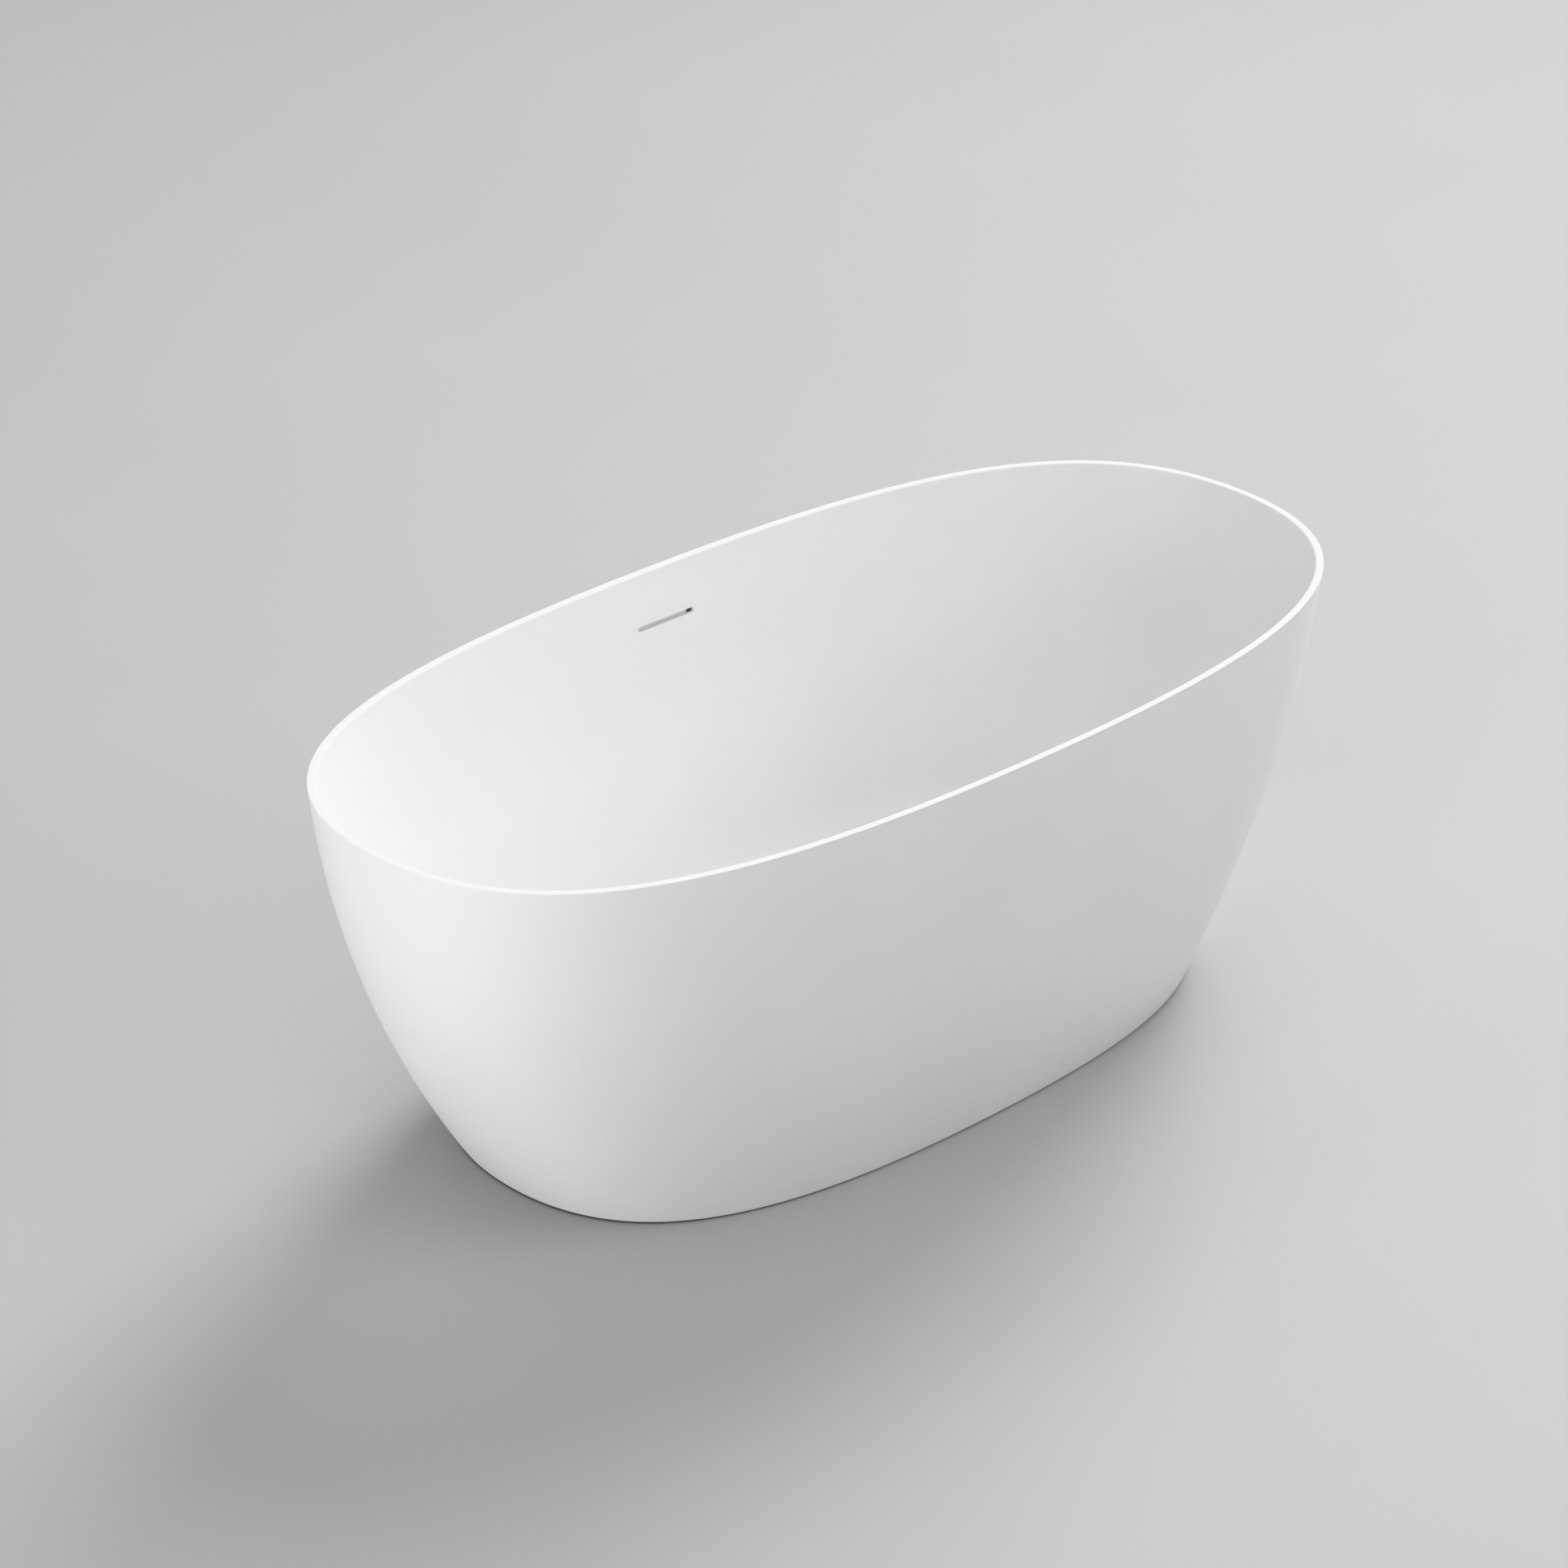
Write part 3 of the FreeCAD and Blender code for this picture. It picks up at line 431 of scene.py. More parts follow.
TOP = RIM[2]
SEAM = TOP - RIM_THICK
INNER_RIM = inset(RIM, RIM_WIDTH)
FRONT_WALL = (at_height(INNER_RIM, TOP - RIM_ROUND), WALL_MIDDLE, WALL_FOOT)
BACK_WALL = (at_height(inset(INNER_RIM, -BASIN_THICK), SEAM), inset(WALL_MIDDLE, -BASIN_THICK),
             inset(WALL_FOOT, -BASIN_THICK))
BACK_FLOOR = at_height(FLOOR, FLOOR[2] - BASIN_THICK)
FLANGE_FOOT = at_height(inset(RIM, RIM_LEAN), SEAM)

# Columns and rows of the grid that the slot is let into, from the slot's middle. The columns
# past END_START go round the slot's ends, fanned about a point END_PIVOT short of it.
SLOT_STRAIGHT = (SLOT_LENGTH - SLOT_HEIGHT) / 2
END_START = 0.057
END_PIVOT = 0.002
COLUMN_STEP = 0.0052
END_STEP = 0.005
ROWS_REACH = 0.014
SLOT_COLUMNS = sorted([i * COLUMN_STEP for i in range(-10, 11)]
                      + [s * (END_START + END_STEP * i) for s in (-1, 1) for i in range(4)])
SLOT_ROWS = [i * ROWS_REACH / 3 for i in range(-3, 4)]

# The wall's plain rows, and how far they keep from the slot's own.
WALL_ROWS = 30
SLOT_CLEAR = 0.008
TINY = 1e-6

# How finely the basin is divided, ring by ring, from the drain out and over the rim.
BASIN_PER_QUARTER = 56
FLOOR_RINGS = 16
FLOOR_CROWDING = 1.4
FOOT_RINGS = 14
RIM_ROUND_RINGS = 7
RIM_FLAT_RINGS = 3
RIM_EDGE_RINGS = 5
BACK_FOOT_RINGS = 10
BACK_FLOOR_RINGS = 6

# Shares of the way from the grid to the slot's outline, and the turns of its soft edge.
APPROACH = (0.25, 0.5, 0.72, 0.88, 1.0)
EDGE_TURNS = (22.5, 45, 67.5, 90)


def section_at(wall, height):
    """The wall's oval at this height."""
    return bezier2(*wall, bisected(lambda t: bezier2(*wall, t)[2] > height))


def on_wall(wall, x, z):
    """The wall's point on the +Y side at this x and z."""
    half_length, half_width, _ = section_at(wall, z)
    return Vector((x, half_width * quarter_point(quarter_parameter(abs(x) / half_length))[1], z))


def wall_handle(foot, middle, height):
    """Carries the wall's slope on below its foot, so that it rolls into the floor."""
    share = (foot[2] - height) / (middle[2] - foot[2])
    return foot[0] - (middle[0] - foot[0]) * share, foot[1] - (middle[1] - foot[1]) * share, height


def wall_heights(wall):
    """Row heights from the wall's foot to its top, with the slot's own rows among them."""
    slot_rows = [SLOT_MIDDLE + q for q in SLOT_ROWS]
    plain = [wall[2][2] + (wall[0][2] - wall[2][2]) * i / WALL_ROWS for i in range(WALL_ROWS + 1)]
    low, high = slot_rows[0] - SLOT_CLEAR, slot_rows[-1] + SLOT_CLEAR
    return sorted([z for z in plain if z < low or z > high] + slot_rows)


def stadium(p, q, off, end_angles):
    """The slot outline's point for a hole corner (p, q), with the outline grown by off."""
    radius = SLOT_HEIGHT / 2 + off
    if abs(p) < END_START - TINY:
        return p * SLOT_STRAIGHT / END_START, math.copysign(radius, q)
    angle = end_angles[(p, q)]
    across = math.copysign(SLOT_STRAIGHT, p) + math.copysign(radius * math.cos(angle), p)
    return across, radius * math.sin(angle)


def hole_corners():
    """The hole's outline round the slot, as (column, row) pairs in one turn."""
    last_column, last_row = len(SLOT_COLUMNS) - 1, len(SLOT_ROWS) - 1
    along_foot = [(c, 0) for c in range(last_column)]
    up = [(last_column, r) for r in range(last_row)]
    along_top = [(c, last_row) for c in range(last_column, 0, -1)]
    down = [(0, r) for r in range(last_row, 0, -1)]
    return along_foot + up + along_top + down


def end_angle_table():
    """Spreads the hole corners beyond the slot's straight evenly round its two ends."""
    table = {}
    for side in (-1, 1):
        ends = [(SLOT_COLUMNS[c], SLOT_ROWS[r]) for c, r in hole_corners()
                if SLOT_COLUMNS[c] * side > END_START - TINY]
        ends.sort(key=lambda pq: math.atan2(pq[1], abs(pq[0]) - END_START + END_PIVOT))
        for i, corner in enumerate(ends):
            table[corner] = math.pi * (i / (len(ends) - 1) - 0.5)
    return table


def add_loop(vertices, points):
    """Adds points to a mesh's list, and gives their numbers."""
    first = len(vertices)
    vertices += points
    return list(range(first, first + len(points)))


def join_loops(faces, first, second):
    """Quads between two loops of as many points."""
    count = len(first)
    for i in range(count):
        k = (i + 1) % count
        faces.append((first[i], first[k], second[k], second[i]))


def slot_columns(unit, unit_columns):
    """The place in the ring of each of the slot's columns."""
    rear = [i for i, (x, y) in enumerate(unit) if y >= 0]
    return [min(rear, key=lambda i: abs(unit[i][0] - x)) for x in unit_columns]


def drain_rings(unit):
    """From the drain hole up its recess, over the soft edge and out along the floor."""
    recess_floor = FLOOR[2] - DRAIN_RECESS_DEPTH
    drain_edge = circle_ring(unit, DRAIN_RECESS + DRAIN_EDGE, FLOOR[2])
    part_way = DRAIN_EDGE * 0.3
    rings = [circle_ring(unit, DRAIN_HOLE, recess_floor),
             circle_ring(unit, DRAIN_RECESS, recess_floor),
             circle_ring(unit, DRAIN_RECESS, FLOOR[2] - DRAIN_EDGE),
             circle_ring(unit, DRAIN_RECESS + part_way, FLOOR[2] - part_way)]
    return rings + [blend_rings(drain_edge, oval_ring(unit, FLOOR), share ** FLOOR_CROWDING)
                    for share in steps(FLOOR_RINGS)]


def build_basin():
    """The basin: one closed skin, up the inside, over the rim and down the back."""
    unit_columns = [(PLUMBING_X + p) / section_at(FRONT_WALL, SLOT_MIDDLE)[0] for p in SLOT_COLUMNS]
    unit = unit_oval(BASIN_PER_QUARTER, unit_columns)
    columns = slot_columns(unit, unit_columns)
    rings = drain_rings(unit)
    rows = {}

    def ring(section):
        return oval_ring(unit, section)

    def add_curve(start, handle, end, count):
        rings.extend(ring(bezier2(start, handle, end, t)) for t in steps(count, 1))

    def add_blend(first, second, count):
        rings.extend(blend_rings(first, second, share) for share in steps(count, 1))

    def add_wall(side, wall, heights):
        """Adds the wall's rings, and notes which of them are the slot's rows."""
        for height in heights:
            for r, q in enumerate(SLOT_ROWS):
                if abs(height - SLOT_MIDDLE - q) < TINY:
                    rows[side, r] = len(rings)
            rings.append(ring(section_at(wall, height)))

    add_curve(FLOOR, wall_handle(WALL_FOOT, WALL_MIDDLE, FLOOR[2]), WALL_FOOT, FOOT_RINGS)
    rings.pop()
    add_wall("front", FRONT_WALL, wall_heights(FRONT_WALL))
    flat_inner, flat_outer = inset(INNER_RIM, -RIM_ROUND), inset(RIM, RIM_EDGE)
    add_curve(FRONT_WALL[0], INNER_RIM, flat_inner, RIM_ROUND_RINGS)
    add_blend(ring(flat_inner), ring(flat_outer), RIM_FLAT_RINGS)
    add_curve(flat_outer, RIM, at_height(RIM, TOP - RIM_EDGE), RIM_EDGE_RINGS)
    back_from = len(rings) * len(unit)
    rings += [ring(FLANGE_FOOT), ring(BACK_WALL[0])]
    add_wall("back", BACK_WALL, reversed(wall_heights(BACK_WALL)[:-1]))
    back_handle = wall_handle(BACK_WALL[2], BACK_WALL[1], BACK_FLOOR[2])
    add_curve(BACK_WALL[2], back_handle, BACK_FLOOR, BACK_FOOT_RINGS)
    add_blend(ring(BACK_FLOOR), circle_ring(unit, DRAIN_BOSS, BACK_FLOOR[2]), BACK_FLOOR_RINGS)
    boss_floor = FLOOR[2] - DRAIN_BOSS_DEPTH
    rings += [circle_ring(unit, DRAIN_BOSS, boss_floor), circle_ring(unit, DRAIN_HOLE, boss_floor)]

    per_ring = len(unit)
    vertices = [point for one in rings for point in one]
    faces = ring_faces(len(rings), per_ring, closed=True)
    holes = set()
    for side in ("front", "back"):
        slot_rows = [rows[side, r] for r in range(len(SLOT_ROWS))]
        holes |= {j * per_ring + i for j in range(min(slot_rows), max(slot_rows))
                  for i in range(min(columns), max(columns))}
    faces = [face for number, face in enumerate(faces) if number not in holes]

    corners = hole_corners()
    angles = end_angle_table()
    flat = [(SLOT_COLUMNS[c], SLOT_ROWS[r]) for c, r in corners]

    def grown(off):
        return [stadium(p, q, off, angles) for p, q in flat]

    def approach(side, wall, edge_off):
        """Loops from the hole in one skin of the wall up to the slot's own outline."""
        loop = [rows[side, r] * per_ring + columns[c] for c, r in corners]
        start = [(vertices[v].x - PLUMBING_X, vertices[v].z - SLOT_MIDDLE) for v in loop]
        for share in APPROACH:
            flat_points = [((1 - share) * a + share * x, (1 - share) * b + share * y)
                           for (a, b), (x, y) in zip(start, grown(edge_off))]
            points = [on_wall(wall, PLUMBING_X + x, SLOT_MIDDLE + z) for x, z in flat_points]
            following = add_loop(vertices, points)
            join_loops(faces, loop, following)
            loop = following
        return loop

    loop = approach("front", FRONT_WALL, SLOT_EDGE)
    for turn in EDGE_TURNS:
        off = SLOT_EDGE * (1 - math.sin(math.radians(turn)))
        deep = Vector((0, SLOT_EDGE * (1 - math.cos(math.radians(turn))), 0))
        points = [on_wall(FRONT_WALL, PLUMBING_X + x, SLOT_MIDDLE + z) + deep for x, z in grown(off)]
        following = add_loop(vertices, points)
        join_loops(faces, loop, following)
        loop = following
    join_loops(faces, loop, approach("back", BACK_WALL, 0.0))

    basin = make_object("basin", vertices, faces, WHITE)
    give_back(basin, range(back_from, len(rings) * per_ring))
    tidy_normals(basin)
    return basin


def give_back(piece, back_points):
    """Gives the faces between these points the shell's rough back."""
    piece.data.materials.append(SHELL_BACK)
    for polygon in piece.data.polygons:
        if all(v in back_points for v in polygon.vertices):
            polygon.material_index = 1


def tidy_normals(piece):
    """Turns every face outwards, and drops points that no face uses."""
    work = bmesh.new()
    work.from_mesh(piece.data)
    bmesh.ops.delete(work, geom=[v for v in work.verts if not v.link_faces], context="VERTS")
    bmesh.ops.recalc_face_normals(work, faces=work.faces)
    work.to_mesh(piece.data)
    work.free()


# How finely the skirt is divided, and where its outline ends above the foot's rounding.
SKIRT_PER_QUARTER = 64
SKIRT_RINGS = 44
SKIRT_FOOT_RINGS = 4
SKIRT_BACK_RINGS = 24
ALMOST_FOOT = 0.999


def build_skirt():
    """The skirt: down its outside, round its foot and up its back."""
    unit = unit_oval(SKIRT_PER_QUARTER)
    outer = (FLANGE_FOOT, BELLY, BASE)
    inner = tuple(inset(section, SKIRT_THICK) for section in outer)
    turn_start = at_height(bezier2(*outer, ALMOST_FOOT), BASE[2] + BASE_EDGE)
    under = inset(BASE, BASE_EDGE)
    profile = [bezier2(*outer, t) for t in steps(SKIRT_RINGS)[:-1]]
    profile = [section for section in profile if section[2] > turn_start[2]]
    profile += [bezier2(turn_start, BASE, under, t) for t in steps(SKIRT_FOOT_RINGS)]
    front_rings = len(profile)
    profile += [inner[2]] + [bezier2(*inner, 1 - t) for t in steps(SKIRT_BACK_RINGS, 1)]
    rings = [oval_ring(unit, section) for section in profile]
    vertices = [point for one in rings for point in one]
    skirt = make_object("skirt", vertices, ring_faces(len(rings), len(unit), closed=True), WHITE)
    give_back(skirt, range(front_rings * len(unit), len(vertices)))
    tidy_normals(skirt)
    return skirt


# Hardware -------------------------------------------------------------------------------------

BODIES = frame["record"]["behaviour"]["bodies"]
BODY_OF = {node: body for body, nodes in BODIES.items() for node in nodes}
CORNERS = [f"{row}_{side}" for row in ("front", "rear") for side in ("left", "right")]

# The levelling studs' M12 thread: its size, its rows to a pitch, how steep its flanks are, how
# much of the pitch is root, and its run-out above the collar.
THREAD_RADIUS = 0.006
THREAD_ROOT = 0.0051
THREAD_PITCH = 0.00175
THREAD_ROWS = 6
THREAD_SLOPE = 2.6
THREAD_VALLEY = 0.25
THREAD_RELIEF = 0.001

# The studs' chamfers and hexagon collars, and the nuts on them.
STUD_CHAMFER = 0.0012
COLLAR_LOW = 0.024
COLLAR_HIGH = 0.032
COLLAR_FLATS = 0.017
NUT_FLATS = 0.019
NUT_CLEARANCE = 0.00005
NUT_COUNTERSINK = 0.0006
HEX_CHAMFER = math.tan(math.radians(30))
HEX_FACE = 0.97
STUD_AROUND = 36
NUT_AROUND = 60

# The hose's corrugations, their rows to a pitch, and its plain ends.
HOSE_PITCH = 0.006
HOSE_RIDGE = 0.0017
HOSE_ROWS = 6
HOSE_CUFF = 0.022
HOSE_AROUND = 28

# The foot pads' sockets for the studs, and the ribs round their rims.
PAD_SOCKET = 0.0063
PAD_SOCKET_FLOOR = 0.008
PAD_RIBS = 24
PAD_RIB_DEPTH = 0.0008
PAD_RIM = 0.0004

# The pads and the plug cap stop this far from their axis, and have this many points round it.
AXIS_GAP = 0.0004
FINE_AROUND = 96

# The plug cap's edge is this high, and its dome has rows at these shares of its radius.
CAP_EDGE = 0.002
CAP_SHARES = (0.94, 0.85, 0.7, 0.55, 0.4, 0.25, 0.1, 0.02)


def stand_in(piece, node):
    """Puts a finished piece in the place of a CAD node, on its body and with its finish."""
    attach(piece, BODY_OF[node])
    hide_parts(node)


def middle_of(node):
    """The x and y of the middle of a CAD node."""
    low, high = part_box(node)
    return (low.x + high.x) / 2, (low.y + high.y) / 2


ROUNDING_STEPS = 4


def rounded(corners):
    """A closed outline from corners of (radius, height, how far from the corner it rounds)."""
    points = []
    for before, corner, after in zip(corners[-1:] + corners[:-1], corners, corners[1:] + corners[:1]):
        here = Vector(corner[:2])
        if corner[2] == 0:
            points.append(tuple(here))
            continue
        start = here + (Vector(before[:2]) - here).normalized() * corner[2]
        end = here + (Vector(after[:2]) - here).normalized() * corner[2]
        points += [bezier2(start, here, end, t) for t in steps(ROUNDING_STEPS)]
    return points


def turned(rows, centre, around, ring=False):
    """Points and faces turned about an upright axis; a row gives (radius, height) at an angle."""
    vertices = []
    for row in rows:
        for i in range(around):
            angle = math.tau * i / around
            radius, height = row(angle) if callable(row) else row
            vertices.append(Vector((centre[0] + radius * math.cos(angle),
                                    centre[1] + radius * math.sin(angle), height)))
    faces = ring_faces(len(rows), around, closed=ring)
    if not ring:
        faces.append(tuple(range(around)))
        faces.append(tuple(range(len(vertices) - around, len(vertices))))
    return vertices, faces


def gathered(parts):
    """Joins the points and faces of several solids."""
    vertices = []
    faces = []
    for some_vertices, some_faces in parts:
        first = len(vertices)
        vertices += some_vertices
        faces += [tuple(first + v for v in face) for face in some_faces]
    return vertices, faces


def hex_radius(flats, angle):
    """The distance to a hexagon's side whose corners lie at multiples of 60 degrees."""
    return flats / 2 / math.cos((angle % (math.pi / 3)) - math.pi / 6)


def hex_rows(flats, low, high):
    """The rows of a hexagon between two heights, with its corners turned off at both ends."""
    face = flats / 2 * HEX_FACE

    def near(end, inwards):
        """The row where the turned corners meet the flats, beside one end."""
        def row(angle):
            reach = hex_radius(flats, angle)
            return reach, end + inwards * (reach - face) * HEX_CHAMFER
        return row
    return [(face, low), near(low, 1), near(high, -1), (face, high)]


def make_nuts(node):
    """Chamfered hexagon nuts on the studs, in the places of the CAD's plain ones."""
    low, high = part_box(node)
    bore = THREAD_RADIUS + NUT_CLEARANCE
    mouth = bore + NUT_COUNTERSINK
    parts = []
    for corner in CORNERS:
        rows = [(bore, low.z + NUT_COUNTERSINK), (mouth, low.z)] + hex_rows(NUT_FLATS, low.z, high.z)
        rows += [(mouth, high.z), (bore, high.z - NUT_COUNTERSINK)]
        parts.append(turned(rows, middle_of(f"foot_rod_{corner}"), NUT_AROUND, ring=True))
    nuts = make_object(node + "_chamfered", *gathered(parts), ZINC)
    tidy_normals(nuts)
    stand_in(nuts, node)


def thread_radius(angle, height):
    """The M12 thread's radius: a flat crest, sloping flanks and a narrow root."""
    phase = (height / THREAD_PITCH - angle / math.tau) % 1
    share = min(1.0, max(0.0, abs(phase - 0.5) * THREAD_SLOPE - THREAD_VALLEY))
    return THREAD_ROOT + (THREAD_RADIUS - THREAD_ROOT) * share


def make_stud(corner):
    """A levelling stud: ball-ended shank, hexagon collar and rolled thread."""
    node = f"foot_rod_{corner}"
    low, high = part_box(node)

    def threaded(height):
        return lambda angle: (thread_radius(angle, height), height)
    rows = [(THREAD_RADIUS - 2 * STUD_CHAMFER, low.z),
            (THREAD_RADIUS - 0.5 * STUD_CHAMFER, low.z + 0.5 * STUD_CHAMFER),
            (THREAD_RADIUS, low.z + 2 * STUD_CHAMFER), (THREAD_RADIUS, COLLAR_LOW)]
    rows += hex_rows(COLLAR_FLATS, COLLAR_LOW, COLLAR_HIGH) + [(THREAD_ROOT, COLLAR_HIGH)]
    thread_low, thread_high = COLLAR_HIGH + THREAD_RELIEF, high.z - 1.5 * STUD_CHAMFER
    rows.append((THREAD_ROOT, thread_low))
    count = round((thread_high - thread_low) / THREAD_PITCH * THREAD_ROWS)
    rows += [threaded(thread_low + (thread_high - thread_low) * t) for t in steps(count, 1)]
    rows.append((THREAD_ROOT - 0.5 * STUD_CHAMFER, high.z))
    stud = make_object(f"levelling_stud_{corner}", *turned(rows, middle_of(node), STUD_AROUND), ZINC)
    tidy_normals(stud)
    stand_in(stud, node)


def make_pad(corner):
    """A moulded foot pad with rounded edges, a ribbed rim and a raised ring underneath."""
    node = f"foot_pad_{corner}"
    low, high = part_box(node)
    radius = (high.x - low.x) / 2
    outline = rounded([
        (AXIS_GAP, 0.0012, 0), (0.016, 0.0012, 0.0006), (0.0172, low.z, 0.0005),
        (radius, low.z, 0.001), (radius, 0.006, 0.0022), (0.0125, 0.0112, 0.002),
        (0.012, high.z, 0.001), (PAD_SOCKET, high.z, 0.0006), (PAD_SOCKET, PAD_SOCKET_FLOOR, 0.001),
        (AXIS_GAP, PAD_SOCKET_FLOOR, 0)])

    def ribbed(r, z):
        depth = PAD_RIB_DEPTH if r > radius - PAD_RIM else 0.0
        return lambda angle: (r - depth * max(0.0, math.cos(angle * PAD_RIBS)), z)
    rows = [ribbed(*point) for point in outline]
    pad = make_object(f"grip_pad_{corner}", *turned(rows, middle_of(node), FINE_AROUND), BLACK)
    tidy_normals(pad)
    stand_in(pad, node)


def make_plug_cap():
    """The pressed plug cap: a low dome with a rolled edge."""
    low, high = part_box("plug_cap")
    radius = (high.x - low.x) / 2
    edge = low.z + CAP_EDGE
    dome = [(radius * share, edge + (high.z - edge) * (1 - share * share)) for share in CAP_SHARES]
    rim = rounded([(AXIS_GAP, low.z, 0), (radius, low.z, 0.0006), (radius, edge, 0.0012), dome[0] + (0,)])
    rows = rim + dome[1:]
    cap = make_object("domed_plug_cap", *turned(rows, middle_of("plug_cap"), FINE_AROUND), CHROME)
    tidy_normals(cap)
    stand_in(cap, "plug_cap")


def hose_frames():
    """Points along the hose with the directions across it, and how far along each one is."""
    turn = (HOSE_CORNER - HOSE_START).angle(HOSE_END - HOSE_CORNER)
    back = HOSE_BEND * math.tan(turn / 2)
    down = (HOSE_CORNER - HOSE_START).normalized()
    level_run = (HOSE_END - HOSE_CORNER).normalized()
    first = (HOSE_CORNER - HOSE_START).length - back
    bend = HOSE_BEND * turn
    last = (HOSE_END - HOSE_CORNER).length - back
    length = first + bend + last
    side = Vector((1, 0, 0))
    inwards = side.cross(down)
    if inwards.dot(level_run) < 0:
        inwards = -inwards
    centre = HOSE_START + down * first + inwards * HOSE_BEND
    for t in steps(round(length / HOSE_PITCH * HOSE_ROWS)):
        along = t * length
        if along < first:
            yield along, length, HOSE_START + down * along, inwards
        elif along < first + bend:
            angle = (along - first) / HOSE_BEND
            out = math.sin(angle) * down - math.cos(angle) * inwards
            yield along, length, centre + HOSE_BEND * out, -out
        else:
            beyond = along - first - bend
            point = HOSE_CORNER + level_run * (back + beyond)
            yield along, length, point, -(math.sin(turn) * down - math.cos(turn) * inwards)


def make_hose():
    """The overflow hose: a corrugated wall between two plain cuffs, and a smooth bore."""
    angles = [math.tau * i / HOSE_AROUND for i in range(HOSE_AROUND)]
    outer, inner = [], []
    for along, length, point, across in hose_frames():
        from_cuff = min(along, length - along) - HOSE_CUFF
        ripple = (1 - math.cos(math.tau * along / HOSE_PITCH)) / 2 if from_cuff > 0 else 0.0
        for rings, radius in ((outer, HOSE_RADIUS - HOSE_RIDGE * ripple), (inner, HOSE_BORE)):
            rings.append([point + radius * (math.cos(a) * across + math.sin(a) * Vector((1, 0, 0)))
                          for a in angles])
    rings = outer + inner[::-1]
    hose = make_object("corrugated_hose", [v for ring in rings for v in ring],
                       ring_faces(len(rings), HOSE_AROUND, closed=True), HOSE)
    tidy_normals(hose)
    stand_in(hose, "overflow_hose")


# Points closer than this are one, and faces that meet flatter than FLAT_ANGLE are one. Edges
# sharper than SOFTEN_ANGLE are rounded, and those sharper than CRISP_ANGLE are shaded crisp.
SAME_POINT = 0.000002
FLAT_ANGLE = math.radians(0.6)
SOFTEN_ANGLE = math.radians(30)
CRISP_ANGLE = math.radians(40)


def softened(node, finish, width):
    """A CAD piece's own shape with its sharp edges rounded over."""
    source = frame["nodes"][node].data
    work = bmesh.new()
    corners = [work.verts.new(v.co) for v in source.vertices]
    for polygon in source.polygons:
        work.faces.new([corners[v] for v in polygon.vertices])
    bmesh.ops.remove_doubles(work, verts=work.verts, dist=SAME_POINT)
    bmesh.ops.dissolve_limit(work, angle_limit=FLAT_ANGLE, verts=work.verts, edges=work.edges)
    bmesh.ops.recalc_face_normals(work, faces=work.faces)
    sharp = [e for e in work.edges if len(e.link_faces) == 2 and e.calc_face_angle(0) > SOFTEN_ANGLE]
    bmesh.ops.bevel(work, geom=sharp, offset=width, segments=2, profile=0.5, affect="EDGES",
                    clamp_overlap=True)
    bmesh.ops.triangulate(work, faces=[f for f in work.faces if len(f.verts) > 4])
    piece = make_object(node + "_finished", [v.co for v in work.verts], [], finish)
    work.to_mesh(piece.data)
    work.free()
    piece.data.polygons.foreach_set("use_smooth", [True] * len(piece.data.polygons))
    piece.data.set_sharp_from_angle(angle=CRISP_ANGLE)
    stand_in(piece, node)


BEAD_RADIUS = 0.0017
BEAD_RIPPLE = 0.0005
BEAD_RIPPLES = 60
BEAD_ROWS = 60
BEAD_INSET = 0.001
BEAD_TIP = 0.0006
BEAD_AROUND = 12


def make_weld_beads():
    """Ripples of weld where the rails meet the cross members."""
    parts = []
    for rail in ("frame_rail_front", "frame_rail_rear"):
        low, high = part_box(rail)
        first, last = low.z + BEAD_INSET, high.z - BEAD_INSET
        rows = [(BEAD_RADIUS + BEAD_RIPPLE * math.sin(t * BEAD_RIPPLES), first + (last - first) * t)
                for t in steps(BEAD_ROWS)]
        rows = [(BEAD_TIP, first - BEAD_TIP)] + rows + [(BEAD_TIP, last + BEAD_TIP)]
        for x in (low.x, high.x):
            for y in (low.y, high.y):
                parts.append(turned(rows, (x, y), BEAD_AROUND))
    beads = make_object("frame_weld_beads", *gathered(parts), TUBE)
    tidy_normals(beads)
    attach(beads, BODY_OF["frame_rail_front"])


# Studio ---------------------------------------------------------------------------------------

# The camera's bearing, elevation and roll in degrees, its distance, what it looks at, and its
# lens on a sensor 36 mm wide.
CAMERA_AZIMUTH = -44.51
CAMERA_ELEVATION = 27.42
CAMERA_ROLL = 0.953
CAMERA_DISTANCE = 7.021
CAMERA_TARGET = Vector((0.0947, 0.2036, 0.290))
CAMERA_LENS = 110.48
CAMERA_SENSOR = 36


def make_camera():
    azimuth = math.radians(CAMERA_AZIMUTH)
    elevation = math.radians(CAMERA_ELEVATION)
    roll = math.radians(CAMERA_ROLL)
    back = Vector((math.sin(azimuth) * math.cos(elevation), -math.cos(azimuth) * math.cos(elevation),
                   math.sin(elevation)))
    right = Vector((math.cos(azimuth), math.sin(azimuth), 0))
    up = back.cross(right)
    across = math.cos(roll) * right + math.sin(roll) * up
    upright = math.cos(roll) * up - math.sin(roll) * right
    data = bpy.data.cameras.new("camera")
    data.lens = CAMERA_LENS
    data.sensor_width = CAMERA_SENSOR
    camera = bpy.data.objects.new("camera", data)
    turn = Matrix((across, upright, back)).transposed().to_4x4()
    camera.matrix_world = Matrix.Translation(CAMERA_TARGET + back * CAMERA_DISTANCE) @ turn
    bpy.context.scene.collection.objects.link(camera)
    bpy.context.scene.camera = camera


LIT_POINT = Vector((0, 0, 0.3))
PLAIN = (1, 1, 1)
WARM = (1, 0.993, 0.955)
COOL = (0.960, 0.970, 1)
SKY_STRENGTH = 0.398
WINDOW_SPREAD = math.radians(25)
FLOOR_REACH = 40
FLOOR_GREY = (0.436, 0.436, 0.436)

